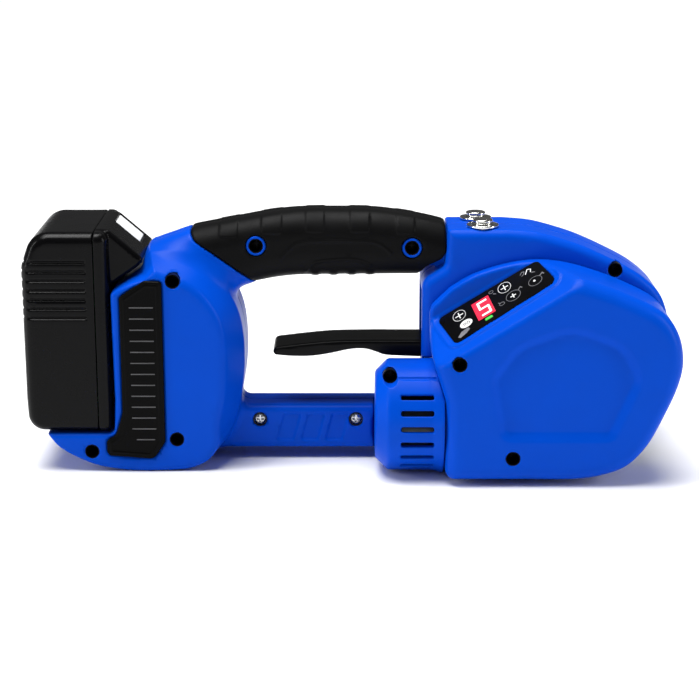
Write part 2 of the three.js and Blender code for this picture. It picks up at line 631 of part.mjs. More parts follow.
const BACK = fromTail(0);
const seam = fromTail(BATTERY_SEAM);
const batteryFront = fromTail(BATTERY_DEPTH - 0.4);
const batteryHalfWidth = BATTERY_WIDTH / 2;
const PAST = 10; // outlines run on past the seam before they are cut there
const caseOutline = [
  [BACK + 0.6, BATTERY_LOW, 5], [seam + PAST, BATTERY_LOW, 0], [seam + PAST, BATTERY_TOP, 0],
  [BACK + 5, BATTERY_TOP, 9],
  [BACK, BATTERY_TOP - 16, 12], [BACK, BATTERY_LOW + 18, 12],
];
const caseShell = slab(caseOutline, -batteryHalfWidth, batteryHalfWidth, 5, 5);
const caseInside = slab(inset(caseOutline, BATTERY_WALL), -batteryHalfWidth + BATTERY_WALL,
  batteryHalfWidth - BATTERY_WALL);
function caseGrooves() {
  const grooves = [];
  const rows = 7;
  for (let k = 0; k < rows; k += 1) {
    const z = BATTERY_TOP - 15.5 - k * 5.1;
    [-1, 1].forEach((side) => {
      const y = side * batteryHalfWidth;
      grooves.push(block(BACK - 1, seam - 12, y - 0.7, y + 0.7, z - 0.7, z + 0.7));
    });
  }
  return grooves;
}
const batteryCase = named('battery_case', cut(
  caseShell.intersect(block(-half, seam - GAP, -half, half, -half, half)), caseInside, ...caseGrooves()),
blackPlastic);

const noseOutline = [
  [seam - PAST, BATTERY_TOP - 31, 0], [fromTail(BATTERY_DEPTH - 0.4), BATTERY_TOP - 31, 1],
  [fromTail(62.3), BATTERY_TOP - 19.8, 1.5], [fromTail(65), BATTERY_TOP - 16, 1.5],
  [fromTail(46.5), BATTERY_TOP, 3], [seam - PAST, BATTERY_TOP, 0],
];
const NOSE_WIDTH = 56;
const coverOutline = [
  [seam - PAST, BATTERY_LOW, 0], [batteryFront, BATTERY_LOW, 3], [batteryFront, BATTERY_TOP, 4],
  [seam - PAST, BATTERY_TOP, 0],
];
const railChannel = block(batteryFront - RAIL_DEPTH - 0.8, batteryFront + 3, -RAIL_WIDTH / 2 - 1,
  RAIL_WIDTH / 2 + 1, BATTERY_LOW - 5, BATTERY_LOW + 78);
const slopeDown = new THREE.Vector3(18.5, 0, -16).normalize();
const slopeOut = new THREE.Vector3(slopeDown.z, 0, -slopeDown.x).negate();
const slopeFrame = new THREE.Matrix4()
  .makeBasis(slopeDown, new THREE.Vector3(0, 1, 0), slopeOut.clone().negate())
  .setPosition(fromTail(46.5), 0, BATTERY_TOP);

function onSlope(s0, s1, y0, y1, d0, d1) {
  const box = new THREE.BoxGeometry(s1 - s0, y1 - y0, d1 - d0);
  box.translate((s0 + s1) / 2, (y0 + y1) / 2, (d0 + d1) / 2);
  return solid(box.applyMatrix4(slopeFrame));
}

const RELEASE = { s0: 1.3, s1: 18.8, middle: 13.2, halfWidth: 11.2, deep: 7, travel: 2.5 };
const releaseNear = RELEASE.middle - RELEASE.halfWidth;
const releaseFar = RELEASE.middle + RELEASE.halfWidth;
const releasePocket = onSlope(RELEASE.s0 - GAP, RELEASE.s1 + GAP, releaseNear - GAP, releaseFar + GAP, -5,
  RELEASE.deep + RELEASE.travel + GAP);
const batteryCover = named('battery_cover', cut(
  join(slab(coverOutline, -batteryHalfWidth, batteryHalfWidth, 4, 4),
    slab(noseOutline, -NOSE_WIDTH / 2, NOSE_WIDTH / 2, 3, 3)),
railChannel, releasePocket, block(-half, seam, -half, half, -half, half)), blackPlastic);
const releaseButton = named('battery_release_button', onSlope(RELEASE.s0, RELEASE.s1, releaseNear, releaseFar, 1,
  RELEASE.deep), paleButton);

// Two rows of cells lie across the case, the second nested half a pitch higher
function cellRow(name, row) {
  const x = BACK + BATTERY_WALL + GAP + CELL_RADIUS + row * CELL_PITCH * Math.sin(Math.PI / 3);
  const low = BATTERY_LOW + BATTERY_WALL + GAP + CELL_RADIUS + row * CELL_PITCH / 2;
  const cells = Array.from({ length: CELLS_PER_ROW }, (_, k) =>
    barY(x, low + k * CELL_PITCH, CELL_RADIUS, -CELL_LENGTH / 2, CELL_LENGTH / 2, 12));
  const strips = [-1, 1].map((side) => {
    const y = side * (CELL_LENGTH / 2 + 0.1);
    return block(x - 4, x + 4, y - 0.25, y + 0.25, low - 5, low + (CELLS_PER_ROW - 1) * CELL_PITCH + 5);
  });
  return named(name, join(...cells, ...strips), cellWrap);
}

const batteryBoard = named('battery_board', block(seam - 2.1, seam - 0.6, -28, 28, BATTERY_LOW + 6,
  BATTERY_TOP - 6), boardGreen);

const railBack = fromTail(BATTERY_DEPTH + 0.9);
const railTop = BATTERY_LOW + 70;
const railPlate = named('battery_rail_plate', cut(join(
  block(railBack - 3.2, railBack - GAP, -RAIL_WIDTH / 2 + 3, RAIL_WIDTH / 2 - 3, 40, railTop),
  block(railBack - RAIL_DEPTH - 0.6, railBack - 3, -RAIL_WIDTH / 2, -RAIL_WIDTH / 2 + 6, 40, railTop),
  block(railBack - RAIL_DEPTH - 0.6, railBack - 3, RAIL_WIDTH / 2 - 6, RAIL_WIDTH / 2, 40, railTop)),
block(railBack - 20, railBack - 1.2, -9, 9, 46, 74)), blackPlastic);
const terminalBlock = named('terminal_block', join(
  block(railBack - 2.9, railBack - 1.5, -8.5, 8.5, 47, 73),
  block(railBack - 5, railBack - 2.8, -6.4, -5.6, 50, 70),
  block(railBack - 5, railBack - 2.8, 5.6, 6.4, 50, 70)), brass);

// ---------------------------------------------------------------- buttons on the deck

function bezel({ name, x, y }) {
  const ring = join(
    barZ(x, y, BEZEL_RADIUS, DECK_Z + GAP, DECK_Z + 1.7, 20),
    barZ(x, y, BUTTON_RADIUS + 1.4, DECK_Z - 12, DECK_Z + 1, 20));
  return named(`${name}_bezel`, ring.subtract(barZ(x, y, BUTTON_RADIUS + GAP, DECK_Z - 10, DECK_Z + 5, 20)),
    steel);
}

function button({ name, x, y }) {
  return named(name, barZ(x, y, BUTTON_RADIUS, DECK_Z - 7, DECK_Z + 4.6, 20), steel);
}

// ---------------------------------------------------------------- motor, bevel pair and belt

function motorCan() {
  const can = join(
    barX(MOTOR_Y, MOTOR_Z, MOTOR_RADIUS, MOTOR_LEFT, MOTOR_LEFT + MOTOR_LENGTH, 32),
    barX(MOTOR_Y, MOTOR_Z, 8, MOTOR_LEFT - 4, MOTOR_LEFT + 2, 20));
  return named('motor_can', can.subtract(barX(MOTOR_Y, MOTOR_Z, SHAFT + RUN, -half, half, 16)), darkSteel);
}

// One toothed wheel of a bevel pair, its axis along +Z and the pair's apex at the origin
function bevelTeeth(teeth, radius, mateRadius, phase) {
  const cone = Math.hypot(radius, mateRadius);
  const depth = 1.05;
  const shrink = 1 - BEVEL_FACE / cone;
  const across = mateRadius / cone;
  const along = radius / cone;
  const shape = [[-0.28, -1], [-0.13, 1], [0.13, 1], [0.28, -1]];
  const ring = (scale) => Array.from({ length: teeth }, (_, k) => shape.map(([share, up]) => {
    const angle = phase + ((k + share) / teeth) * 2 * Math.PI;
    const r = (radius + up * depth * across) * scale;
    return [r * Math.cos(angle), r * Math.sin(angle), (mateRadius - up * depth * along) * scale];
  })).flat();
  const big = ring(1);
  const small = ring(shrink);
  const back = mateRadius + depth * along + BEVEL_BACK;
  const rim = big.map(([x, y]) => {
    const scale = (radius - depth * across) / Math.hypot(x, y);
    return [x * scale, y * scale, back];
  });
  const count = big.length;
  const index = [];
  [0, count].forEach((first) => {
    for (let i = 0; i < count; i += 1) {
      const j = (i + 1) % count;
      index.push(first + i, first + j, first + count + i, first + j, first + count + j, first + count + i);
    }
  });
  const front = 3 * count;
  for (let i = 0; i < count; i += 1) {
    const j = (i + 1) % count;
    index.push(front, j, i, front + 1, 2 * count + i, 2 * count + j);
  }
  const centres = [[0, 0, small.reduce((z, p) => Math.max(z, p[2]), 0)], [0, 0, back]];
  const geometry = new THREE.BufferGeometry();
  const rings = [...small, ...big, ...rim, ...centres];
  geometry.setAttribute('position', new THREE.Float32BufferAttribute(rings.flat(), 3));
  geometry.setIndex(index);
  return geometry;
}

const gearRadius = PINION_RADIUS * (BEVEL_TEETH / PINION_TEETH);
const pinionBack = CROSS_X - gearRadius - 1 - BEVEL_BACK;
const pinion = bevelTeeth(PINION_TEETH, PINION_RADIUS, gearRadius, -Math.PI / 2)
  .applyMatrix4(new THREE.Matrix4().makeBasis(
    new THREE.Vector3(0, 0, 1), new THREE.Vector3(0, 1, 0), new THREE.Vector3(-1, 0, 0)))
  .translate(CROSS_X, MOTOR_Y, MOTOR_Z);
const bevel = bevelTeeth(BEVEL_TEETH, gearRadius, PINION_RADIUS, Math.PI + Math.PI / BEVEL_TEETH)
  .applyMatrix4(new THREE.Matrix4().makeBasis(
    new THREE.Vector3(1, 0, 0), new THREE.Vector3(0, 0, 1), new THREE.Vector3(0, -1, 0)))
  .translate(CROSS_X, MOTOR_Y, MOTOR_Z);

const motorShaft = named('motor_shaft', join(solid(pinion),
  barX(MOTOR_Y, MOTOR_Z, SHAFT, BARREL_LEFT + 4, pinionBack + 2, 16)), steel);
const fanStart = MOTOR_LEFT + MOTOR_LENGTH + 1.5;

function coolingFan() {
  const hub = barX(MOTOR_Y, MOTOR_Z, 7, fanStart, fanStart + 6, 20);
  const plate = barX(MOTOR_Y, MOTOR_Z, 18, fanStart + 5, fanStart + 6, 24);
  const blades = Array.from({ length: 10 }, (_, k) => {
    const blade = new THREE.BoxGeometry(5.5, 12, 1.2).translate(0, 11.5, 0).rotateX((k * Math.PI) / 5);
    return solid(blade.translate(fanStart + 2.8, MOTOR_Y, MOTOR_Z));
  });
  return named('cooling_fan', join(hub, plate, ...blades)
    .subtract(barX(MOTOR_Y, MOTOR_Z, SHAFT + GAP, fanStart - 5, fanStart + 9, 16)), blackPlastic);
}

const gearFace = MOTOR_Y - PINION_RADIUS;
const crossShaft = named('cross_shaft', barY(CROSS_X, MOTOR_Z, SHAFT + 1, FACE_Y + WALL + 1.4, CASTING_FAR - 4, 20),
  steel);
const bevelGear = named('bevel_gear', join(solid(bevel), barY(CROSS_X, MOTOR_Z, 7.5, gearFace - 5, gearFace - 1, 24))
  .subtract(barY(CROSS_X, MOTOR_Z, SHAFT + 1 + GAP, -half, half, 20)), steel);

function pulley(name, x, z, radius, bore) {
  const wheel = join(
    barY(x, z, radius, BELT_NEAR - 0.4, BELT_FAR + 0.4, 20),
    barY(x, z, radius + 1.4, BELT_NEAR - 1.6, BELT_NEAR - 0.4, 20),
    barY(x, z, radius + 1.4, BELT_FAR + 0.4, BELT_FAR + 1.6, 20));
  return named(name, wheel.subtract(barY(x, z, bore + GAP, -half, half, 20)), aluminium);
}

// A belt's flank wraps both pulleys and runs straight between them
function beltOutline(grow) {
  const from = new THREE.Vector2(CROSS_X, MOTOR_Z);
  const to = new THREE.Vector2(ECCENTRIC_X, ECCENTRIC_Z);
  const heading = Math.atan2(to.y - from.y, to.x - from.x);
  const lean = Math.acos((DRIVE_PULLEY_RADIUS - DRIVEN_PULLEY_RADIUS) / from.distanceTo(to));
  const arc = (centre, radius, start, end) => Array.from({ length: 10 }, (_, k) => {
    const angle = heading + start + ((end - start) * k) / 9;
    return [centre.x + (radius + grow) * Math.cos(angle), centre.y + (radius + grow) * Math.sin(angle)];
  });
  return [...arc(to, DRIVEN_PULLEY_RADIUS, -lean, lean),
    ...arc(from, DRIVE_PULLEY_RADIUS, lean, 2 * Math.PI - lean)];
}

const driveBelt = named('drive_belt', slab(beltOutline(GAP + BELT_THICK), BELT_NEAR, BELT_FAR)
  .subtract(slab(beltOutline(GAP), BELT_NEAR - 1, BELT_FAR + 1)), rubber);

const ECCENTRIC_RADIUS = SHAFT + 2;
const eccentricShaft = named('eccentric_shaft', join(
  barY(ECCENTRIC_X, ECCENTRIC_Z, SHAFT, FACE_Y + WALL + 1.4, TRACK_FAR, 20),
  barY(ECCENTRIC_X + ECCENTRIC_OFFSET, ECCENTRIC_Z, ECCENTRIC_RADIUS, TRACK_NEAR + 1, TRACK_FAR - 3, 28)), steel);

// ---------------------------------------------------------------- casting and its bearings

// The bearing clears the pinion's tip as well as the casting's near face
const crossBearingNear = Math.max(CASTING_NEAR + 1, MOTOR_Y + PINION_RADIUS + 1);
const crossBearing = named('cross_shaft_bearing', barY(CROSS_X, MOTOR_Z, SHAFT + 6, crossBearingNear,
  CASTING_NEAR + 8, 24).subtract(barY(CROSS_X, MOTOR_Z, SHAFT + 1 + RUN, -half, half, 20)), steel);

const castingLow = PLATE_THICK + GAP;
const castingOutline = [
  [CASTING_LEFT, castingLow, 2], [fromNose(30), castingLow, 4], [fromNose(13), 28, 6], [fromNose(6), 40, 12],
  [fromNose(8), 86, 10], [fromNose(20), 92, 8], [fromNose(98), 92, 4], [fromNose(104), 54, 4],
  [CASTING_LEFT, 54, 2],
];
const casting = named('casting', cut(slab(castingOutline, CASTING_NEAR, CASTING_FAR),
  block(OPENING_RIGHT - 10, half, -half, -HEAD_WIDTH / 2 + WALL + GAP, 55 - GAP, half),
  block(OPENING_RIGHT - 10, half, HEAD_WIDTH / 2 - WALL - GAP, half, 55 - GAP, half),
  block(fromNose(5) - WALL - GAP, half, -half, half, 55 - GAP, half),
  block(fromNose(90), fromNose(22), -12, 12, 58, 89),
  block(fromNose(70), fromNose(52), -6, half, 14, 48),
  block(fromNose(90), fromNose(76), 0, 12, 50, 60),
  block(fromNose(24), fromNose(16), -6, half, 34, 60),
  barX(MOTOR_Y, MOTOR_Z, MOTOR_RADIUS + 1, -half, CROSS_X + 5, 32),
  barX(MOTOR_Y, MOTOR_Z, BARREL_RADIUS + GAP, -half, barrelEnd + GAP, 36),
  barY(CROSS_X, MOTOR_Z, SHAFT + 1 + RUN, -half, half, 20),
  barY(CROSS_X, MOTOR_Z, SHAFT + 6 + GAP, -half, CASTING_NEAR + 8 + GAP, 24),
  barY(CROSS_X, MOTOR_Z, PIVOT_RADIUS + GAP, CASTING_FAR - 3.6, half, 24),
  barY(ECCENTRIC_X, ECCENTRIC_Z, SHAFT + RUN, -half, half, 20),
  barY(...coverLowFixing, SCREW_SHANK + GAP, -half, 0)), aluminium);

const coverHead = FACE_Y + COVER_SINK;
const coverTopScrew = screw('cover_screw_top', coverTopFixing, coverHead, -HEAD_WIDTH / 2 + 5.6 - coverHead);
const coverLowScrew = screw('cover_screw_low', coverLowFixing, coverHead, -8 - coverHead);

// ---------------------------------------------------------------- base, inserts and guide

const baseOutline = [
  [CASTING_LEFT, 0, 2.5], [fromNose(10), 0, 3], [fromNose(8), PLATE_THICK, 0], [CASTING_LEFT, PLATE_THICK, 1],
];
const insertPocket = (x0, x1) => block(x0 - GAP, x1 + GAP, TRACK_NEAR - GAP, TRACK_FAR + GAP, 3.4, 9);
const padSpan = [WHEEL_X - 8.6, WHEEL_X + 10];
const anvilSpan = [ECCENTRIC_X - 14, ECCENTRIC_X + 14];
const basePlate = named('base_plate', cut(slab(baseOutline, CASTING_NEAR, OPEN_Y), insertPocket(...padSpan),
  insertPocket(...anvilSpan), block(fromNose(28), half, -half, HEAD_WIDTH / 2, -1, PLATE_THICK + 1)), steel);

function insert(name, [x0, x1], pitch) {
  const top = PLATE_THICK + INSERT_PROUD;
  const grooves = [];
  for (let x = x0 + pitch / 2; x < x1 - 0.5; x += pitch) {
    grooves.push(block(x - 0.4, x + 0.4, TRACK_NEAR - 1, TRACK_FAR + 1, top - 0.5, top + 1));
  }
  return named(name, cut(block(x0, x1, TRACK_NEAR, TRACK_FAR, 3.4 + GAP, top), ...grooves), darkSteel);
}

const guideTop = 16;
const strapGuide = named('strap_guide', join(
  block(fromNose(16), fromNose(9.6), TRACK_NEAR - 4, TRACK_NEAR - 1, PLATE_THICK + GAP, guideTop),
  block(fromNose(16), fromNose(9.6), TRACK_NEAR - 9, TRACK_NEAR - 1, PLATE_THICK + GAP, 9)), steel);

// ---------------------------------------------------------------- rocker, lever and tension wheel

const rockerOutline = [
  [WHEEL_X - 15.5, WHEEL_Z - 15, 13], [WHEEL_X + 16, WHEEL_Z - 15, 12], [CROSS_X + 17.5, MOTOR_Z - 17.5, 17],
  [CROSS_X + 17.5, MOTOR_Z + 17.5, 17], [CROSS_X - 16, MOTOR_Z + 19, 16], [WHEEL_X + 14, 72, 4],
  [WHEEL_X - 6, 72, 4], [WHEEL_X - 15.5, WHEEL_Z + 24, 12],
];
const rocker = named('rocker', cut(slab(rockerOutline, ROCKER_NEAR, ROCKER_FAR, 0, 2),
  barY(CROSS_X, MOTOR_Z, PIVOT_RADIUS + RUN, -half, half, 28),
  barY(WHEEL_X, WHEEL_Z, GEARBOX_RADIUS + GAP, -half, half, 28)), aluminium);
const pivotPin = named('rocker_pivot_pin', join(
  barY(CROSS_X, MOTOR_Z, PIVOT_RADIUS, CASTING_FAR - 3.2, ROCKER_FAR + 0.6, 24),
  barY(CROSS_X, MOTOR_Z, PIVOT_RADIUS + 4, ROCKER_FAR + GAP, ROCKER_FAR + 3.6, 6)), steel);
const gearbox = named('tension_gearbox', join(
  barY(WHEEL_X, WHEEL_Z, GEARBOX_RADIUS, ROCKER_NEAR, ROCKER_FAR + 0.4, 28),
  barY(WHEEL_X, WHEEL_Z, SHAFT + 1, ROCKER_FAR, TRACK_FAR + 2, 20)), darkSteel);

function tensionWheel() {
  const rim = Array.from({ length: 2 * WHEEL_TEETH }, (_, k) => {
    const angle = (k * Math.PI) / WHEEL_TEETH;
    const radius = WHEEL_RADIUS - (k % 2) * 0.8;
    return [WHEEL_X + radius * Math.cos(angle), WHEEL_Z + radius * Math.sin(angle)];
  });
  const y0 = TRACK_MID - WHEEL_WIDTH / 2;
  return named('tension_wheel', slab(rim, y0, y0 + WHEEL_WIDTH)
    .subtract(barY(WHEEL_X, WHEEL_Z, SHAFT + 1 + RUN, -half, half, 20)), steel);
}

// The lever's paddle thickens toward the head, and its lug reaches across to the rocker
const leverTip = OPENING_LEFT + LEVER_TIP_CLEAR;
const leverOutline = [
  [leverTip, 59.6, 2.2], [leverTip + 21, 58.8, 12], [OPENING_RIGHT - 39, 62.8, 14], [OPENING_RIGHT - 31, 63.2, 8],
  [OPENING_RIGHT - 20, 59.6, 8], [WHEEL_X + 10, 58, 3], [WHEEL_X + 10, 68, 3], [leverTip + 34, 67.6, 30],
  [leverTip + 14, 66.4, 30], [leverTip, 64.4, 2.2],
];
const lever = named('lever', join(slab(leverOutline, -LEVER_WIDTH / 2, LEVER_WIDTH / 2, 1.4, 1.4),
  block(OPENING_RIGHT + 9, WHEEL_X + 9, LEVER_WIDTH / 2 - 4, ROCKER_NEAR - GAP, 59.5, 67)), blackPlastic);

// A coil spring under the upper housing presses the wheel onto the strap
class Helix extends THREE.Curve {
  getPoint(t, target = new THREE.Vector3()) {
    const angle = t * SPRING.turns * 2 * Math.PI;
    const z = THREE.MathUtils.lerp(SPRING.low + SPRING.wire, SPRING.high - SPRING.wire, t);
    return target.set(SPRING.x + SPRING.radius * Math.cos(angle), SPRING.radius * Math.sin(angle), z);
  }
}
const wireSection = new THREE.Shape(Array.from({ length: 5 }, (_, k) => new THREE.Vector2(
  SPRING.wire * Math.cos((k * 2 * Math.PI) / 5), SPRING.wire * Math.sin((k * 2 * Math.PI) / 5))));
const rockerSpring = named('rocker_spring', solid(new THREE.ExtrudeGeometry(wireSection,
  { extrudePath: new Helix(), steps: SPRING.turns * 8, bevelEnabled: false })), steel);

// ---------------------------------------------------------------- welding side

const shoeSlot = ECCENTRIC_RADIUS + ECCENTRIC_OFFSET + SHOE_TRAVEL + GAP;
const shoeTop = ECCENTRIC_Z + shoeSlot + 5;
const weldShoe = named('weld_shoe', cut(join(
  block(ECCENTRIC_X - 13, ECCENTRIC_X + 13, TRACK_NEAR + 1, TRACK_FAR - 3, 8, shoeTop),
  block(ECCENTRIC_X - 15, ECCENTRIC_X + 15, TRACK_NEAR, TRACK_FAR, 8, 12)),
barY(ECCENTRIC_X, ECCENTRIC_Z, shoeSlot, -half, half, 28)), darkSteel);
const cutter = named('cutter', join(
  block(ECCENTRIC_X + 19, ECCENTRIC_X + 21, TRACK_NEAR, TRACK_FAR, 9.4, 22),
  block(ECCENTRIC_X + 18, ECCENTRIC_X + 22, TRACK_NEAR + 2, TRACK_FAR - 4, 20, 40)), darkSteel);

const sideFace = TRACK_FAR + 3;
const sideOutline = [
  [CROSS_X + 19, 15, 3], [fromNose(18), 15, 4], [fromNose(5), 42, 22], [fromNose(4.5), 70, 16],
  [fromNose(16), 88, 16], [fromNose(46), 92, 10], [CROSS_X + 19, 84, 8],
];
const sideCover = named('side_cover', cut(
  slab(sideOutline, HEAD_WIDTH / 2 + GAP, sideFace, 0, 6),
  slab(inset(sideOutline, WALL), -half, sideFace - WALL, 0, 4),
  block(ECCENTRIC_X - 16.5, ECCENTRIC_X + 24, TRACK_NEAR - 2, TRACK_FAR + 1, 0, 30)), blue);

// ---------------------------------------------------------------- controller

const boardX = fromNose(86);
const controller = named('controller_board', join(
  block(boardX, boardX + 56, -15, 15, 95, 96.6),
  block(boardX + 6, boardX + 24, -12, 2, 96.5, 103),
  barZ(boardX + 36, 6, 5, 96.5, 105, 14),
  barZ(boardX + 48, -6, 4, 96.5, 102, 14)), boardGreen);

// ---------------------------------------------------------------- the machine

const machine = new THREE.Group();
machine.add(
  nearShell, farShell, gripNear, gripFar, bumperPad('bumper_pad_near', -1), bumperPad('bumper_pad_far', 1),
  gearCover, overlay, display, statusLed, panelBoard, motorBarrel,
  batteryCase, batteryCover, releaseButton, cellRow('cell_row_back', 0), cellRow('cell_row_front', 1),
  batteryBoard, railPlate, terminalBlock,
  ...buttons.map(bezel), ...buttons.map(button),
  motorCan(), motorShaft, coolingFan(), crossShaft, bevelGear,
  pulley('drive_pulley', CROSS_X, MOTOR_Z, DRIVE_PULLEY_RADIUS, SHAFT + 1),
  pulley('driven_pulley', ECCENTRIC_X, ECCENTRIC_Z, DRIVEN_PULLEY_RADIUS, SHAFT), driveBelt, eccentricShaft,
  casting, crossBearing,
  basePlate, insert('tension_insert', padSpan, 1.8), insert('weld_anvil', anvilSpan, 2.6), strapGuide,
  rocker, pivotPin, gearbox, tensionWheel(), lever, rockerSpring,
  weldShoe, cutter, sideCover, controller,
  ...shellScrews, barrelScrew, coverTopScrew, coverLowScrew,
);

export default machine;
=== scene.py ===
import math

import bmesh
import bpy
import numpy as np
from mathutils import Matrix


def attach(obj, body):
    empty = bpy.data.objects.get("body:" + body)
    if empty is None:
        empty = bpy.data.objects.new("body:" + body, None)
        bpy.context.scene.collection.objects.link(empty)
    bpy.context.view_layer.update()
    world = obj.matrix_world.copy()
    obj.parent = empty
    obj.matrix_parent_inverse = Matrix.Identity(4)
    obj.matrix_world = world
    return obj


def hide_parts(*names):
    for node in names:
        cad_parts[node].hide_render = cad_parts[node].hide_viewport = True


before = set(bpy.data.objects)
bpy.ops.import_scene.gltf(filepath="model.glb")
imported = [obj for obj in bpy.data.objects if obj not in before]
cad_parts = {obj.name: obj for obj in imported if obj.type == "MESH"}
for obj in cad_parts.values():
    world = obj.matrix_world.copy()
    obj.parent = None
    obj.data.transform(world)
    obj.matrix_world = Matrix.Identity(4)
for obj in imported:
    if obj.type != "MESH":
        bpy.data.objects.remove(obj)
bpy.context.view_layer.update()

import openvdb as vdb
from mathutils import Matrix, Vector

MM = 0.001
scene = bpy.context.scene

# ------------------------------------------------------------------ sizes shared with the frame

FACE, OPEN = -65.0, 65.0
LOBE_HALF, BAR_HALF, GRIP_HALF, HEAD_HALF = 37.0, 14.0, 18.0, 22.0
WALL, GAP = 2.6, 0.3
OPENING_RIGHT = 39.0
MOTOR_Y, MOTOR_Z, BARREL_RADIUS, BARREL_LEFT, BARREL_END = -30.0, 31.0, 30.5, 13.5, 50.5
COVER_BACK, CASTING_LEFT = -22.3, 46.0
DECK = 131.2
WHEEL = (56.0, 24.8)
CROSS = (100.0, 31.0)
ECCENTRIC = (138.0, 44.0)
TRACK_NEAR, TRACK_FAR = 43.0, 59.0
ROCKER_NEAR, ROCKER_FAR = 24.6, 41.6
HOLE, BOSS = 3.9, 4.9
BATTERY_LOW, BATTERY_TOP, BATTERY_HALF, SEAM = 22.6, 132.6, 37.5, -136.6

LOBE_HOLES = [(-94.8, 106.5), (-94.3, 18.3), (-140.8, 11.4)]
BAR_HOLES = [(-50.0, 22.8), (3.3, 22.8)]
GRIP_HOLES = [(-51.0, 121.8), (33.6, 120.7)]
HOUSING_HOLE = (143.3, 109.5)
COVER_HOLES = [(57.7, 68.0), (86.6, 16.3)]
BARREL_HOLE = (21.5, 56.0)

# ------------------------------------------------------------------ finishes


def linear(hexa):
    """An sRGB hex colour as linear RGBA."""
    parts = [int(hexa[i:i + 2], 16) / 255 for i in (1, 3, 5)]
    return (*[c / 12.92 if c <= 0.04045 else ((c + 0.055) / 1.055) ** 2.4 for c in parts], 1.0)


def node(material, kind, sockets=None, **settings):
    """Adds a node; a socket's value is a number, a colour or another node's output to link."""
    made = material.node_tree.nodes.new(kind)
    for key, value in settings.items():
        setattr(made, key, value)
    for key, value in (sockets or {}).items():
        if isinstance(value, bpy.types.NodeSocket):
            material.node_tree.links.new(value, made.inputs[key])
        else:
            made.inputs[key].default_value = value
    return made


def start(name):
    """An empty material with object coordinates in metres to build on."""
    material = bpy.data.materials.new(name)
    material.use_nodes = True
    material.node_tree.nodes.clear()
    place = node(material, "ShaderNodeTexCoord").outputs["Object"]
    return material, place


def finished(material, sockets):
    shader = node(material, "ShaderNodeBsdfPrincipled", sockets)
    node(material, "ShaderNodeOutputMaterial", {"Surface": shader.outputs["BSDF"]})
    return material


def moulded(name, dark, light, grain_mm, bump, rough, level, patch_mm=22.0):
    """Injection-moulded plastic: slow mottling from the melt's flow, an eroded tool's fine grain."""
    material, place = start(name)
    flow = node(material, "ShaderNodeTexNoise", {"Vector": place, "Scale": 1 / (patch_mm * MM), "Detail": 3.0,
                                                 "Roughness": 0.55})
    tint = node(material, "ShaderNodeMix", {0: flow.outputs[0], 6: linear(dark), 7: linear(light)},
                data_type="RGBA")
    grain = node(material, "ShaderNodeTexNoise", {"Vector": place, "Scale": 1 / (grain_mm * MM), "Detail": 2.0,
                                                  "Roughness": 0.6})
    gloss = node(material, "ShaderNodeMapRange", {"Value": flow.outputs[0], "From Min": 0.25, "From Max": 0.75,
                                                  "To Min": rough - 0.05, "To Max": rough + 0.05})
    relief = node(material, "ShaderNodeBump", {"Height": grain.outputs[0], "Strength": bump, "Distance": 0.1 * MM})
    return finished(material, {"Base Color": tint.outputs[2], "Roughness": gloss.outputs[0],
                               "Normal": relief.outputs[0], "IOR": 1.5, "Specular IOR Level": level})


def metal(name, dark, light, rough, spread, scratch_mm, along, bump):
    """Bare metal: fine drawn or turned lines that run along one axis, with patches of duller surface."""
    material, place = start(name)
    stretch = tuple((1 / (scratch_mm * MM)) * (0.02 if axis == along else 1.0) for axis in "XYZ")
    lay = node(material, "ShaderNodeMapping", {"Vector": place, "Scale": stretch})
    lines = node(material, "ShaderNodeTexNoise", {"Vector": lay.outputs[0], "Scale": 1.0, "Detail": 3.0,
                                                  "Roughness": 0.65})
    patches = node(material, "ShaderNodeTexNoise", {"Vector": place, "Scale": 1 / (9 * MM), "Detail": 4.0})
    tint = node(material, "ShaderNodeMix", {0: patches.outputs[0], 6: linear(dark), 7: linear(light)},
                data_type="RGBA")
    gloss = node(material, "ShaderNodeMapRange", {"Value": lines.outputs[0], "From Min": 0.3, "From Max": 0.7,
                                                  "To Min": rough - spread, "To Max": rough + spread})
    relief = node(material, "ShaderNodeBump", {"Height": lines.outputs[0], "Strength": bump, "Distance": 0.03 * MM})
    return finished(material, {"Base Color": tint.outputs[2], "Metallic": 1.0, "Roughness": gloss.outputs[0],
                               "Normal": relief.outputs[0]})


# Glass-filled nylon, spark-eroded tool: deep blue with a soft sheen; the 0.5 mm grain is coarser than real to show
blue_nylon = moulded("moulded_blue_nylon", "#0045bc", "#0049c6", 0.5, 0.05, 0.34, 0.05)
# ABS for the battery: black, satin, so its rounded edges carry long soft highlights
black_abs = moulded("moulded_black_abs", "#040405", "#070708", 0.45, 0.04, 0.26, 0.1)
# Nylon for the lever: black, a little duller than the battery
black_nylon = moulded("moulded_black_nylon", "#050505", "#080809", 0.5, 0.12, 0.32, 0.09)
# Thermoplastic rubber over the handle: matt, with a leathery 0.7 mm grain that breaks up the light
grip_rubber = moulded("moulded_black_rubber", "#070707", "#0b0b0c", 0.7, 0.4, 0.5, 0.07, 14.0)
# Thermoplastic rubber of the bumper pads: flatter and smoother than the grip's
pad_rubber = moulded("smooth_black_rubber", "#050505", "#080808", 0.6, 0.15, 0.4, 0.05, 14.0)
# Neoprene belt: sooty black
neoprene = moulded("neoprene_belt", "#141414", "#1d1d1e", 0.6, 0.5, 0.75, 0.3, 8.0)
# The battery's release button, near white: a painted highlight on its glossy sloped face
painted_highlight_white = moulded("moulded_white_nylon", "#e9ebec", "#f4f5f5", 0.5, 0.1, 0.45, 0.5)
# Polycarbonate keypad film: near black, smoother than the shells round it
keypad_film = moulded("polycarbonate_film", "#040405", "#060607", 0.4, 0.03, 0.3, 0.08)
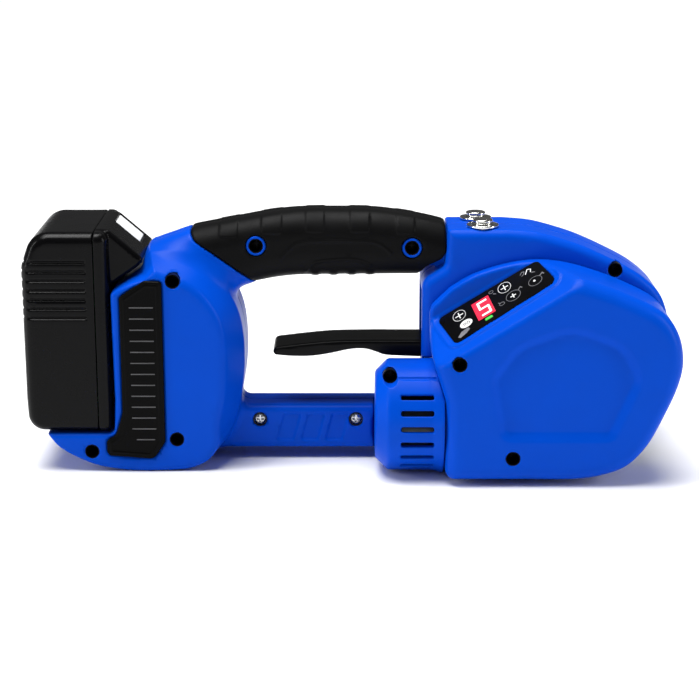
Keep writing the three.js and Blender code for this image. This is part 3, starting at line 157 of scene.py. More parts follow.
# Screen-printed inks on the film
white_ink = moulded("printed_white_ink", "#dcdcdc", "#f2f2f2", 0.3, 0.05, 0.5, 0.3, 4.0)
grey_ink = moulded("printed_grey_ink", "#5c5c60", "#7e7e82", 0.3, 0.05, 0.5, 0.3, 4.0)
# Heat-shrink sleeve on the cells: teal, glossy, drawn tight
shrink_sleeve = moulded("heat_shrink_sleeve", "#23808f", "#2f93a4", 0.8, 0.1, 0.3, 0.5)
# Glass-epoxy board under green solder mask
epoxy_board = moulded("green_epoxy_board", "#14562c", "#1c6e3a", 0.9, 0.2, 0.35, 0.5, 5.0)
# Stainless steel push buttons, turned and polished: bright, with tight highlights
polished_steel = metal("polished_stainless_steel", "#c9c9c6", "#e6e6e3", 0.16, 0.05, 0.5, "Z", 0.08)
# Ground steel base plate: long grinding lines and a grey sheen
ground_steel = metal("ground_steel", "#9c9ea1", "#b9bbbd", 0.34, 0.08, 0.6, "X", 0.4)
# Turned steel shafts and gears
turned_steel = metal("turned_steel", "#8f9194", "#aeb0b3", 0.28, 0.07, 0.5, "Y", 0.25)
# Hardened, blackened tool steel: feed wheel, jaws and weld shoe
tool_steel = metal("blackened_tool_steel", "#3c3d40", "#55575a", 0.38, 0.08, 0.5, "Y", 0.35)
# Zinc-plated screws: pale, slightly cloudy
zinc_plate = metal("zinc_plated_steel", "#b3b5b8", "#d3d4d6", 0.27, 0.08, 0.7, "Y", 0.15)
# Die-cast aluminium: pale grey, sand-fine skin
cast_aluminium = metal("die_cast_aluminium", "#a5a7a9", "#bfc1c2", 0.48, 0.1, 0.8, "N", 0.6)
# Steel of the deep-set screws, near black: painted shade that keeps their deep wells dark, with a faint oily sheen
painted_shade_black = metal("black_oxide_steel", "#0c0c0d", "#18181a", 0.42, 0.06, 0.6, "Y", 0.1)
# The bumper ridges' tops, paler grey: a painted highlight where light catches the edges along the pad
painted_highlight_ridge = moulded("painted_highlight_rubber_ridge", "#3c3c3d", "#58585a", 0.5, 0.2, 0.5, 0.3, 9.0)
# Brass contact blades
brass_strip = metal("stamped_brass", "#b98f43", "#d1a857", 0.3, 0.08, 0.5, "Z", 0.2)


def lit_window(name, dark, light, glow):
    """A tinted acrylic window with a lamp behind it, its tint mottled."""
    material, place = start(name)
    mottle = node(material, "ShaderNodeTexNoise", {"Vector": place, "Scale": 1 / (5 * MM), "Detail": 2.0})
    tint = node(material, "ShaderNodeMix", {0: mottle.outputs[0], 6: linear(dark), 7: linear(light)},
                data_type="RGBA")
    return finished(material, {"Base Color": tint.outputs[2], "Emission Color": tint.outputs[2],
                               "Emission Strength": glow, "Roughness": 0.3, "Specular IOR Level": 0.4})


red_window = lit_window("red_acrylic_window", "#c8102c", "#ea2c48", 0.35)
green_window = lit_window("green_acrylic_window", "#2fa838", "#5ad45c", 0.35)
# The digit's segments shine through the red window, almost white
lit_segment = lit_window("lit_segment", "#ffc9c9", "#fff2ee", 0.8)

# ------------------------------------------------------------------ outlines


def rounded(corners):
    """Corners (x, z, radius) as a closed line of points, each corner an arc."""
    points = []
    for i, (x, z, radius) in enumerate(corners):
        here = np.array([x, z], float)
        back = np.array(corners[i - 1][:2], float) - here
        ahead = np.array(corners[(i + 1) % len(corners)][:2], float) - here
        room = 0.49 * min(np.linalg.norm(back), np.linalg.norm(ahead))
        back, ahead = back / np.linalg.norm(back), ahead / np.linalg.norm(ahead)
        half = math.acos(max(-1.0, min(1.0, float(back @ ahead)))) / 2
        if radius <= 0 or half > 1.55:
            points.append(here)
            continue
        reach = min(radius / math.tan(half), room)
        arm = reach * math.tan(half)
        middle = (back + ahead) / np.linalg.norm(back + ahead)
        centre = here + middle * arm / math.sin(half)
        spoke = here + back * reach - centre
        turn = math.copysign(math.pi - 2 * half, ahead[0] * back[1] - ahead[1] * back[0])
        steps = max(2, math.ceil(abs(turn) / 0.12))
        for k in range(steps + 1):
            a = turn * k / steps
            points.append(centre + (spoke[0] * math.cos(a) - spoke[1] * math.sin(a),
                                    spoke[0] * math.sin(a) + spoke[1] * math.cos(a)))
    return np.array(points)


def eased(points):
    """A smooth run through the points given, open at both ends."""
    pts = np.array([points[0], *points, points[-1]], float)
    run = []
    for a, b, c, d in zip(pts, pts[1:], pts[2:], pts[3:]):
        for t in np.arange(0, 1, 0.1):
            run.append(0.5 * (2 * b + (c - a) * t + (2 * a - 5 * b + 4 * c - d) * t ** 2
                              + (3 * b - a - 3 * c + d) * t ** 3))
    return np.array([*run, pts[-1]])


# The tail: a long belly, a broad sweep up beside the hand opening, and a step that takes the battery
LOBE_RUN = eased([(-165.2, 21.4), (-157, 12.2), (-139, 3.4), (-119, 0.2), (-101, 0.2), (-87, 1.6), (-75.6, 6.8),
                  (-66.2, 17), (-60, 37), (-57.6, 60), (-59.6, 82), (-66.4, 97.5), (-78, 110.4), (-92, 117.2),
                  (-108, 119.4)])
LOBE_LINE = np.vstack([LOBE_RUN, rounded([(-108, 119.4, 0), (-113.5, 110.2, 3), (-128.4, 99.6, 3),
                                          (-127.6, 40, 6), (-128.4, 21.6, 2.5), (-165.2, 21.4, 0)])[1:-1]])
NECK = [
    (-101, 80, 4), (-63, 80, 4), (-53, 98.5, 6), (-36, 104, 3), (-56, 128, 3), (-88, 129.4, 3), (-103, 124, 6),
    (-109.5, 119, 3),
]
BAR = [(-76, 6, 3), (CASTING_LEFT - GAP, 6, 0.5), (CASTING_LEFT - GAP, 31, 0.5), (-76, 31, 4)]
GRIP = [
    (-52, 100.5, 3), (37, 104, 4), (41.5, 110, 3), (50, 114.5, 4), (52.4, 119, 2), (52, 133, 3), (15, 140.4, 150),
    (-30, 140.4, 150), (-88, 130, 2.5), (-84.5, 124, 3), (-75, 118, 6), (-59, 106.5, 5),
]
HANDLE_LINE = [
    (-116, 76, 116), (-103, 80, 124), (-88, 88, 129.8), (-59, 97, 135.6), (-46, 101.5, 138.2), (-30, 103.6, 140),
    (15, 104, 140), (37, 104, 137.2), (48, 104, 134.4), (58, 104, 130.8),
]
# The head: a flat deck for the buttons, then one long fall to the nose
HOUSING_LINE = np.vstack([eased([(84, DECK), (96, 130.3), (106, 128.4), (124.6, 122.6), (144, 113.8), (157, 106.4),
                                 (167, 97.6), (172, 88), (173.6, 78), (173.2, 66), (172, 56)]),
                          rounded([(172, 56, 0), (OPENING_RIGHT, 56, 2), (OPENING_RIGHT, 103, 8), (51.5, 111, 4),
                                   (52.8, DECK, 1.5), (84, DECK, 0)])[1:-1]])[::-1]
# The gear cover: a round nose, a straight foot and a waist where the barrel comes in
GEAR_LINE = np.vstack([eased([(96, 3), (118, 3), (133, 4.8), (147.5, 10.2), (158.4, 21.6), (166.6, 37.4), (173.4, 54),
                              (175.9, 68), (173, 82.6), (164.4, 94.6), (147, 104), (129, 110.8), (113, 114.9),
                              (98, 115.8), (82, 113.2), (66, 107.8), (54.5, 101)]),
                       rounded([(54.5, 101, 0), (43, 90, 9), (43, 71, 8), (51, 46, 15), (51, 3, 5), (96, 3, 0)])[1:-1]])
PAD = [
    (-132.5, 9.5, 3), (-107, 7.5, 5), (-100.6, 17, 6), (-100.6, 106.6, 2), (-110, 107.1, 3), (-123.5, 98.1, 3),
    (-123.5, 33, 10), (-127.5, 21, 3), (-132.5, 18, 3),
]
FACE_RECESS = [(79, 25, 8), (141, 25, 8), (156, 60, 14), (146, 80, 24), (116, 91, 30), (86, 80, 26), (72, 60, 14)]

# ------------------------------------------------------------------ solid fields


class Space:
    """A block of space sampled at an even step; a field holds each sample's distance to a surface."""

    def __init__(self, low, high, step):
        self.step = step
        self.low = np.array(low, float) - 3 * step
        counts = [int(math.ceil((high[i] + 3 * step - self.low[i]) / step)) + 1 for i in range(3)]
        axes = [(self.low[i] + step * np.arange(counts[i])).astype(np.float32) for i in range(3)]
        self.x = axes[0].reshape(-1, 1, 1)
        self.y = axes[1].reshape(1, -1, 1)
        self.z = axes[2].reshape(1, 1, -1)


def to_outline(points, u, v):
    """Distance from a closed line of points, negative inside it."""
    u, v = np.broadcast_arrays(u, v)
    nearest = np.full(u.shape, 1e9, np.float32)
    inside = np.zeros(u.shape, bool)
    for (ax, az), (bx, bz) in zip(points, np.roll(points, -1, axis=0)):
        dx, dz = bx - ax, bz - az
        length = dx * dx + dz * dz
        if length < 1e-12:
            continue
        t = np.clip(((u - ax) * dx + (v - az) * dz) / length, 0, 1)
        np.minimum(nearest, (u - ax - t * dx) ** 2 + (v - az - t * dz) ** 2, out=nearest)
        if dz != 0:
            inside ^= ((v >= az) != (v >= bz)) & (u < ax + (v - az) * dx / dz)
    return np.where(inside, -1, 1).astype(np.float32) * np.sqrt(nearest)


def both(a, b, radius=0.0):
    """Where two solids overlap, their shared edge rounded."""
    if radius == 0:
        return np.maximum(a, b)
    return np.minimum(np.maximum(a, b), -radius) + np.hypot(np.maximum(a + radius, 0), np.maximum(b + radius, 0))


def either(a, b, radius=0.0):
    """Two solids joined, with a fillet where they meet."""
    if radius == 0:
        return np.minimum(a, b)
    return np.maximum(np.minimum(a, b), radius) - np.hypot(np.maximum(radius - a, 0), np.maximum(radius - b, 0))


def without(a, b, radius=0.0):
    return both(a, -b, radius)


def plate(flat, y, y0, y1, near=0.0, far=0.0):
    """A flat outline carried from y0 to y1, with its near and far edges rounded."""
    return both(both(flat, y0 - y, near), y - y1, far)


def block(s, x0, x1, y0, y1, z0, z1, round_=0.0):
    return both(both(both(x0 - s.x, s.x - x1, 0), both(y0 - s.y, s.y - y1, 0), round_),
                both(z0 - s.z, s.z - z1, 0), round_)


def rod_y(s, x, z, radius, y0=-200.0, y1=200.0, edge=0.0):
    return both(both(np.hypot(s.x - x, s.z - z) - radius, y0 - s.y, edge), s.y - y1, edge)


def rod_x(s, y, z, radius, x0, x1, edge=0.0):
    return both(both(np.hypot(s.y - y, s.z - z) - radius, x0 - s.x, edge), s.x - x1, edge)


def rod_z(s, x, y, radius, z0, z1, edge=0.0):
    return both(both(np.hypot(s.x - x, s.y - y) - radius, z0 - s.z, edge), s.z - z1, edge)


def smoothstep(t):
    t = np.clip(t, 0, 1)
    return t * t * (3 - 2 * t)


def tunnel(s, shrink=0.0, round_=14.0, rise=0.0):
    """The handle's oval bar: it follows its underside and top line from the tail to the head."""
    x = s.x.ravel()
    stations = np.array(HANDLE_LINE)
    fine = np.arange(-130, 72, 1.0)
    kernel = np.ones(15) / 15
    low = np.convolve(np.interp(fine, stations[:, 0], stations[:, 1]), kernel, "same")
    high = np.convolve(np.interp(fine, stations[:, 0], stations[:, 2]), kernel, "same")
    z0 = np.interp(x, fine[10:-10], low[10:-10]).astype(np.float32).reshape(-1, 1, 1)
    z1 = np.interp(x, fine[10:-10], high[10:-10]).astype(np.float32).reshape(-1, 1, 1) + rise
    across = np.abs(s.y) - (GRIP_HALF - round_)
    upright = np.abs(s.z - (z0 + z1) / 2) - ((z1 - z0) / 2 - round_)
    return (np.hypot(np.maximum(across, 0), np.maximum(upright, 0)) + np.minimum(np.maximum(across, upright), 0)
            - (round_ - shrink) * 1.0)


# ------------------------------------------------------------------ meshes


def piece(name, mesh, material, body, replaced=()):
    mesh.materials.append(material)
    made = bpy.data.objects.new(name, mesh)
    scene.collection.objects.link(made)
    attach(made, body)
    if replaced:
        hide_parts(*replaced)
    return made


def sample(field, where):
    """A field's value between its samples."""
    at = np.clip(where, 0, np.array(field.shape) - 1.001)
    cell = at.astype(int)
    f = at - cell
    total = 0
    for dx in (0, 1):
        for dy in (0, 1):
            for dz in (0, 1):
                share = (np.abs(1 - dx - f[:, 0]) * np.abs(1 - dy - f[:, 1]) * np.abs(1 - dz - f[:, 2]))
                total = total + share * field[cell[:, 0] + dx, cell[:, 1] + dy, cell[:, 2] + dz]
    return total


def cast(name, s, field, thin=0.008):
    """A mesh on a field's surface, shaded with the field's own slopes so that it reads as one smooth skin."""
    reach = 3 * s.step
    field = np.clip(np.broadcast_to(field, (s.x.size, s.y.size, s.z.size)), -reach, reach).astype(np.float32)
    grid = vdb.FloatGrid(reach)
    grid.copyFromArray(np.ascontiguousarray(field), tolerance=0)
    points, triangles, quads = grid.convertToPolygons(0.0, thin)
    slope = np.stack([sample(field, points + step) - sample(field, points - step)
                      for step in np.eye(3) * 0.6], axis=1)
    slope /= np.maximum(np.linalg.norm(slope, axis=1, keepdims=True), 1e-9)
    faces = [tuple(int(i) for i in f) for f in triangles] + [tuple(int(i) for i in f) for f in quads]
    mesh = bpy.data.meshes.new(name)
    mesh.from_pydata(((points * s.step + s.low) * MM).tolist(), [], faces)
    mesh.update()
    if faces:
        turned = sum(float(np.dot(mesh.polygons[i].normal, slope[mesh.polygons[i].vertices[0]]))
                     for i in range(0, len(mesh.polygons), max(1, len(mesh.polygons) // 400)))
        if turned < 0:
            mesh.flip_normals()
    mesh.shade_smooth()
    mesh.normals_split_custom_set_from_vertices(slope.tolist())
    return mesh


def revolved(name, profile, centre, axis, sides=64):
    """A turned shape: profile is (radius, height) pairs along the axis, in millimetres."""
    frames = {"X": ((0, 1, 0), (0, 0, 1), (1, 0, 0)), "Y": ((0, 0, 1), (1, 0, 0), (0, 1, 0)),
              "Z": ((1, 0, 0), (0, 1, 0), (0, 0, 1))}
    u, v, w = (np.array(d, float) for d in frames[axis])
    verts, faces = [], []
    for radius, height in profile:
        for k in range(sides):
            a = 2 * math.pi * k / sides
            verts.append((np.array(centre) + u * radius * math.cos(a) + v * radius * math.sin(a) + w * height) * MM)
    for r in range(len(profile) - 1):
        for k in range(sides):
            a, b = r * sides + k, r * sides + (k + 1) % sides
            faces.append((a, b, b + sides, a + sides))
    faces.append(tuple(reversed(range(sides))))
    last = (len(profile) - 1) * sides
    faces.append(tuple(last + k for k in range(sides)))
    mesh = bpy.data.meshes.new(name)
    mesh.from_pydata(verts, [], faces)
    build = bmesh.new()
    build.from_mesh(mesh)
    bmesh.ops.remove_doubles(build, verts=build.verts, dist=1e-7)
    bmesh.ops.dissolve_degenerate(build, dist=1e-7, edges=build.edges)
    bmesh.ops.recalc_face_normals(build, faces=build.faces)
    build.to_mesh(mesh)
    build.free()
    mesh.shade_smooth()
    mesh.set_sharp_from_angle(angle=math.radians(38))
    return mesh


def softened(made, width, segments=3, angle=30):
    """Rounds a hard-edged mesh's edges over and keeps its faces flat."""
    bevel = made.modifiers.new("edges", "BEVEL")
    bevel.width, bevel.segments, bevel.limit_method = width * MM, segments, "ANGLE"
    bevel.angle_limit = math.radians(angle)
    bevel.harden_normals = True
    made.data.shade_smooth()
    made.data.set_sharp_from_angle(angle=math.radians(angle))
    return made


# ------------------------------------------------------------------ handle shells

tail = Space((-166, -38, 0), (174, 38, 134), 0.85)
flat = {name: to_outline(line, tail.x, tail.z)
        for name, line in dict(lobe=LOBE_LINE, neck=rounded(NECK), bar=rounded(BAR), housing=HOUSING_LINE,
                               grip=rounded(GRIP), pad=rounded(PAD)).items()}
# Beside the hand opening the tail's wall leans in from the seam to its flat face, and the edge there is crisp
sweep = smoothstep((tail.x + 128) / 34) * smoothstep((tail.z - 2) / 30)
lean = 0.55 * sweep
wall = (flat["lobe"] + lean * np.maximum(np.abs(tail.y) - 19, 0)) / np.sqrt(1 + lean * lean)
lobe = both(wall, np.abs(tail.y) - LOBE_HALF, 2.6)
neck = both(tunnel(tail), flat["neck"], 2.0)
bar = plate(flat["bar"], tail.y, -BAR_HALF, BAR_HALF, 4.0, 4.0)
housing = plate(flat["housing"], tail.y, -HEAD_HALF, HEAD_HALF, 5.0, 5.0)
body = either(either(lobe, neck, 7.0), bar, 5.0)
body = either(body, housing, 3.0)
grip_room = both(tunnel(tail) - GAP, flat["grip"] - GAP)
barrel_room = rod_x(tail, MOTOR_Y, MOTOR_Z, BARREL_RADIUS + GAP, BARREL_LEFT - GAP, BARREL_END + GAP)
body = without(body, grip_room)
body = without(body, barrel_room)
core = both(tunnel(tail, 4.4), both(-79 - tail.x, tail.x - 55))
body = either(body, core)
for x, z in GRIP_HOLES:
    body = either(body, rod_y(tail, x, z, BOSS + 0.6, -GRIP_HALF + 0.4, GRIP_HALF - 0.4, 0.5))
head_room = both(both(flat["housing"] + WALL, np.abs(tail.y) - HEAD_HALF + WALL), tail.x - 170.0)
head_room = either(head_room, block(tail, OPENING_RIGHT + WALL, 169.4, -HEAD_HALF + WALL, HEAD_HALF - WALL, 48, 66))
seat = block(tail, 43, 62, -21, 21, 92.3, 94.5)
body = either(without(body, head_room), both(seat, flat["housing"] + 1))
for cut in (block(tail, 33, 41.6, -14.7, 14.7, 50, 96), block(tail, 39, 66, -14.7, 14.7, 50, 66),
            block(tail, 45, 76, HEAD_HALF - WALL - 1, HEAD_HALF + 1, 50, 84)):
    body = without(body, cut, 0.5)
for x, y in ((72.0, -11.0), (69.5, 11.0)):
    body = without(body, rod_z(tail, x, y, 7.3, DECK - 15, DECK + 9))
for (x, z), face, sink in ([(p, -LOBE_HALF, 14.9) for p in LOBE_HOLES] + [(p, -BAR_HALF, 4.1) for p in BAR_HOLES]
                           + [(p, -GRIP_HALF + 0.6, 7.9) for p in GRIP_HOLES] + [(HOUSING_HOLE, -HEAD_HALF, 8.9)]):
    body = without(body, rod_y(tail, x, z, HOLE, face - 8, face + sink), 0.35)
for k in range(3):
    x = -40.6 + k * 13.5
    slant = to_outline(rounded([(x, 11, 1), (x + 9, 11, 1), (x + 13, 26, 1), (x + 4, 26, 1)]), tail.x, tail.z)
    for side in (-1, 1):
        body = without(body, both(slant, BAR_HALF - 0.9 - side * tail.y), 0.4)
body = without(body, both(flat["pad"] - GAP, LOBE_HALF - 1.2 - np.abs(tail.y)), 0.3)
# The two shells meet near the middle plane, which leaves the parting line
near_shell = cast("handle_shell_near_skin", tail, both(body, tail.y + 0.15, 0.35))
far_shell = cast("handle_shell_far_skin", tail, both(body, 0.15 - tail.y, 0.35))
piece("handle_shell_left", near_shell, blue_nylon, "machine", ["handle_shell_near"])
piece("handle_shell_right", far_shell, blue_nylon, "machine", ["handle_shell_far"])
del body, lobe, neck, bar, housing, head_room, core, grip_room, barrel_room, sweep, lean, wall, flat

# ------------------------------------------------------------------ rubber grip

rubber = Space((-90, -19, 99), (54, 19, 141), 0.6)
grip_flat = to_outline(rounded(GRIP), rubber.x, rubber.z)
skin = tunnel(rubber)
# Raised pads lie over the top where the hand closes; thin ridges arch along each side
for x0, x1, low in ((-71, -61, 126.5), (-48, -37, 128.5), (-24, -14, 129.5), (0, 10.5, 129.5), (25, 35, 128.5)):
    pad_area = both(both(x0 - rubber.x, rubber.x - x1), low - rubber.z, 1.5)
    skin = skin - 0.5 * smoothstep(0.5 - pad_area / 0.8)
ridge = np.full((rubber.x.size, 1, rubber.z.size), 1e9, np.float32)
for line in (eased([(-38, 115), (-31, 121.6), (-26, 123.8), (-11, 125), (4, 124.6), (15, 123.4), (22, 118)]),
             eased([(-24, 107), (-21.5, 111), (-17, 113.2), (-6, 114.4), (4, 114.2), (12, 111)])):
    for (ax, az), (bx, bz) in zip(line[::4], line[4::4]):
        t = np.clip(((rubber.x - ax) * (bx - ax) + (rubber.z - az) * (bz - az))
                    / ((bx - ax) ** 2 + (bz - az) ** 2), 0, 1)
        ridge = np.minimum(ridge, np.hypot(rubber.x - ax - t * (bx - ax), rubber.z - az - t * (bz - az)))
skin = skin - 0.5 * smoothstep(1.25 - ridge)
# Small cleats across the underside keep fingers from sliding
for x in (-19, -9, 1, 11):
    skin = skin - 0.6 * smoothstep(1.4 - np.abs(rubber.x - x) / 2.2) * smoothstep((108 - rubber.z) / 3)
skin = both(skin, grip_flat, 1.2)
skin = without(skin, tunnel(rubber, 4.1), 0)
for x, z in GRIP_HOLES:
    skin = without(skin, rod_y(rubber, x, z, BOSS + 0.9), 0.6)
piece("grip_left", cast("grip_left_skin", rubber, both(skin, rubber.y + 0.1, 0.2)), grip_rubber, "machine",
      ["grip_near"])
piece("grip_right", cast("grip_right_skin", rubber, both(skin, 0.1 - rubber.y, 0.2)), grip_rubber, "machine",
      ["grip_far"])

# ------------------------------------------------------------------ bumper pads

for side, name in ((-1, "near"), (1, "far")):
    low, high = 36.1, 38.4
    sheet = Space((-133, min(side * low, side * high), 7), (-100, max(side * low, side * high), 108), 0.5)
    depth = side * sheet.y
    slab = both(both(to_outline(rounded(PAD), sheet.x, sheet.z), low - depth), depth - high, 1.1)
    # A fine raised line follows the pad's edge
    border = np.abs(to_outline(rounded(PAD), sheet.x, sheet.z) + 2.6) - 0.45
    slab = either(slab, both(border, depth - high - 0.3), 0.3)
    piece(f"bumper_{name}", cast(f"bumper_{name}_skin", sheet, slab), pad_rubber, "machine",
          [f"bumper_pad_{name}"])
    # Thin bars across each pad, pale grey as a painted highlight of lit edges
    build = bmesh.new()
    for k in range(13):
        z = 92.6 - 6.15 * k
        x0, x1 = (-118.2, -105.2) if k < 12 else (-116, -106)
        centre = Vector(((x0 + x1) / 2, side * (high + 0.05), z)) * MM
        size = Vector((x1 - x0, 0.8, 0.62)) * MM
        for vert in bmesh.ops.create_cube(build, size=1.0)["verts"]:
            vert.co = centre + Vector((vert.co.x * size.x, vert.co.y * size.y, vert.co.z * size.z))
    bmesh.ops.bevel(build, geom=list(build.edges), offset=0.2 * MM, segments=2, affect="EDGES", profile=0.6)
    ridges = bpy.data.meshes.new(f"bumper_ridges_{name}_bars")
    build.to_mesh(ridges)
    build.free()
    ridges.shade_smooth()
    piece(f"bumper_ridges_{name}", ridges, painted_highlight_ridge, "machine")

# ------------------------------------------------------------------ gear cover and panel

# The panel's own axes: along it, down its slope and out of it
ALONG = Vector((0.85, 0, 0.526)).normalized()
DOWN = Vector((0.223, -0.906, -0.361))
DOWN = (DOWN - ALONG * DOWN.dot(ALONG)).normalized()
OUT = DOWN.cross(ALONG).normalized()
PANEL_AT = Vector((43.8, -30.0, 83.0))
FILM = [(3.4, 0.9, 3.2), (65.6, 0.9, 3.5), (69.6, 24.2, 4.0), (7.0, 26.8, 3.0)]


def panel_point(s, w, h):
    return (PANEL_AT + ALONG * s + DOWN * w + OUT * h) * MM


cover = Space((42, -66, 2), (177, -21, 117), 0.8)
offset = [axis - origin for axis, origin in zip((cover.x, cover.y, cover.z), PANEL_AT)]
s_ = offset[0] * ALONG.x + offset[1] * ALONG.y + offset[2] * ALONG.z
w_ = offset[0] * DOWN.x + offset[1] * DOWN.y + offset[2] * DOWN.z
h_ = offset[0] * OUT.x + offset[1] * OUT.y + offset[2] * OUT.z
side_flat = to_outline(GEAR_LINE, cover.x, cover.z)
# A soft recess 2.4 mm deep in the face, its slopes 6 mm wide
recess = 2.4 * smoothstep(-to_outline(rounded(FACE_RECESS), cover.x, cover.z) / 6.0)
face_y = cover.y - recess
outer = both(both(side_flat, FACE - face_y, 8.0), cover.y - COVER_BACK)
inner = both(side_flat + WALL, FACE + WALL - face_y, 5.5)
facet = either(h_, -30.0 - cover.y, 1.5)
outer = both(outer, facet, 2.2)
inner = both(inner, either(h_ + WALL + 1, -30.0 - cover.y + WALL + 1))
film_flat = to_outline(rounded(FILM), s_, w_)
bead = np.hypot(film_flat - 3.3, h_ + 0.1) - 0.75
outer = either(outer, both(bead, side_flat + 0.5), 0.9)
outer = without(outer, both(film_flat - 0.3, -1.1 - h_), 0.3)
shell = without(outer, inner)
for x, z in COVER_HOLES:
    shell = either(shell, both(rod_y(cover, x, z, BOSS, FACE + 1, COVER_BACK), outer))
    shell = without(shell, rod_y(cover, x, z, HOLE, FACE - 2, FACE + 10.9), 0.4)
    shell = without(shell, rod_y(cover, x, z, 2.0))
for s0, s1, w0, w1 in ((22.95, 34.05, 4.7, 20.3), (26.4, 31.4, 20.9, 23.3)):
    shell = without(shell, both(both(both(s0 - s_, s_ - s1), both(w0 - w_, w_ - w1)), -9 - h_))
shell = without(shell, rod_x(cover, MOTOR_Y, MOTOR_Z, 23.0, 29, 54))
piece("gear_cover_shell", cast("gear_cover_skin", cover, shell), blue_nylon, "machine", ["gear_cover"])
del outer, inner, shell, facet, bead, film_flat, s_, w_, h_


def prism(build, points, low, high):
    """A flat shape in the panel's axes, points (s, w), given thickness."""
    count = len(points)
    ring = [[build.verts.new(panel_point(s, w, h)) for s, w in points] for h in (low, high)]
    build.faces.new(ring[0])
    build.faces.new(ring[1])
    for i in range(count):
        j = (i + 1) % count
        build.faces.new((ring[0][i], ring[0][j], ring[1][j], ring[1][i]))


def band(build, line, width, low, high, closed=False):
    """A printed line of even width through points (s, w)."""
    line = np.array(line, float)
    pairs = zip(line, np.roll(line, -1, axis=0)) if closed else zip(line, line[1:])
    for a, b in pairs:
        d = b - a
        length = np.linalg.norm(d)
        if length < 1e-6:
            continue
        side = np.array([-d[1], d[0]]) / length * width / 2
        ahead = d / length * width * 0.3
        prism(build, [a - ahead + side, a - ahead - side, b + ahead - side, b + ahead + side], low, high)


def circle(s, w, rs, rw, count=28):
    return [(s + rs * math.cos(2 * math.pi * k / count), w + rw * math.sin(2 * math.pi * k / count))
            for k in range(count)]


def panel_mesh(name, draw):
    build = bmesh.new()
    draw(build)
    bmesh.ops.recalc_face_normals(build, faces=build.faces)
    mesh = bpy.data.meshes.new(name)
    build.to_mesh(mesh)
    build.free()
    return mesh


def draw_film(build):
    """The keypad film with its two lamp windows cut out."""
    ring = [tuple(p) for p in rounded(FILM)]
    loops = [ring, [(23.2, 4.9), (33.8, 4.9), (33.8, 20.1), (23.2, 20.1)],
             [(26.6, 21.1), (31.2, 21.1), (31.2, 23.1), (26.6, 23.1)]]
    tops = []
    for loop in loops:
        upper = [build.verts.new(panel_point(s, w, -0.35)) for s, w in loop]
        lower = [build.verts.new(panel_point(s, w, -0.8)) for s, w in loop]
        for i in range(len(loop)):
            j = (i + 1) % len(loop)
            build.faces.new((upper[i], upper[j], lower[j], lower[i]))
        tops.append((upper, lower))
    for level in (0, 1):
        edges = [build.edges.get((t[level][i], t[level][(i + 1) % len(t[level])]))
                 for t in tops for i in range(len(t[level]))]
        bmesh.ops.triangle_fill(build, use_beauty=True, edges=edges)


piece("keypad_film", panel_mesh("keypad_film_sheet", draw_film), keypad_film, "machine", ["control_panel"])

PRINT_LOW, PRINT_TOP = -0.36, -0.28


def draw_white(build):
    """Bold marks: two plus keys, the battery gauge's pill and small ticks."""
    for s, w, arm, width in ((15.1, 7.7, 2.2, 0.6), (43.4, 6.8, 2.1, 0.55), (45.7, 16.5, 1.5, 0.6)):
        band(build, [(s - arm, w), (s + arm, w)], width, PRINT_LOW, PRINT_TOP)
        band(build, [(s, w - arm), (s, w + arm)], width, PRINT_LOW, PRINT_TOP)
    for s, w, rs, rw in ((15.1, 7.7, 3.7, 4.0), (43.4, 6.8, 3.7, 4.0)):
        band(build, circle(s, w, rs, rw), 0.26, PRINT_LOW, PRINT_TOP, closed=True)
    prism(build, circle(16.7, 16.4, 3.7, 2.9), PRINT_LOW, PRINT_TOP)
    prism(build, circle(59.2, 14.8, 0.7, 0.7, 12), PRINT_LOW, PRINT_TOP)
    band(build, [(56.6, 6.4), (58.6, 3.4), (60.4, 4.6), (59.6, 6.6)], 0.45, PRINT_LOW, PRINT_TOP)


def draw_grey(build):
    """Fine marks: key outlines, curved arrows and a strip's outline."""
    band(build, circle(45.7, 16.5, 4.2, 3.7), 0.28, PRINT_LOW, PRINT_TOP, closed=True)
    band(build, [(49.4, 14.4), (51.2, 13.0), (51.8, 14.2)], 0.55, PRINT_LOW, PRINT_TOP)
    band(build, circle(59.6, 15.2, 3.9, 3.4), 0.3, PRINT_LOW, PRINT_TOP, closed=True)
    band(build, [(63.0, 13.2), (65.0, 12.0), (65.4, 13.4)], 0.6, PRINT_LOW, PRINT_TOP)
    band(build, [(54.0, 4.6), (55.2, 3.2), (56.6, 3.8), (55.8, 5.6), (54.4, 6.2)], 0.4, PRINT_LOW, PRINT_TOP)
    band(build, [(60.0, 7.4), (61.6, 8.4)], 0.5, PRINT_LOW, PRINT_TOP)
    band(build, circle(35.9, 4.4, 1.3, 1.0, 12), 0.3, PRINT_LOW, PRINT_TOP, closed=True)
    band(build, [(36.6, 6.6), (37.8, 7.6)], 0.45, PRINT_LOW, PRINT_TOP)
    band(build, circle(38.4, 17.6, 1.5, 1.2, 12), 0.3, PRINT_LOW, PRINT_TOP, closed=True)
    band(build, [(36.8, 15.6), (37.4, 16.2)], 0.4, PRINT_LOW, PRINT_TOP)
    prism(build, [(9.6, 23.2), (12.4, 20.6), (16.6, 20.0), (17.4, 21.6), (14.8, 23.4), (10.6, 24.6)], PRINT_LOW,
          PRINT_TOP)


def draw_black(build):
    """Two small cell marks printed over the white pill."""
    for s in (15.9, 18.0):
        band(build, circle(s, 16.4, 0.75, 0.85, 10), 0.4, PRINT_TOP, PRINT_TOP + 0.05, closed=True)


piece("white_marks", panel_mesh("white_marks_print", draw_white), white_ink, "machine")
piece("grey_marks", panel_mesh("grey_marks_print", draw_grey), grey_ink, "machine")
piece("dark_marks", panel_mesh("dark_marks_print", draw_black), keypad_film, "machine")

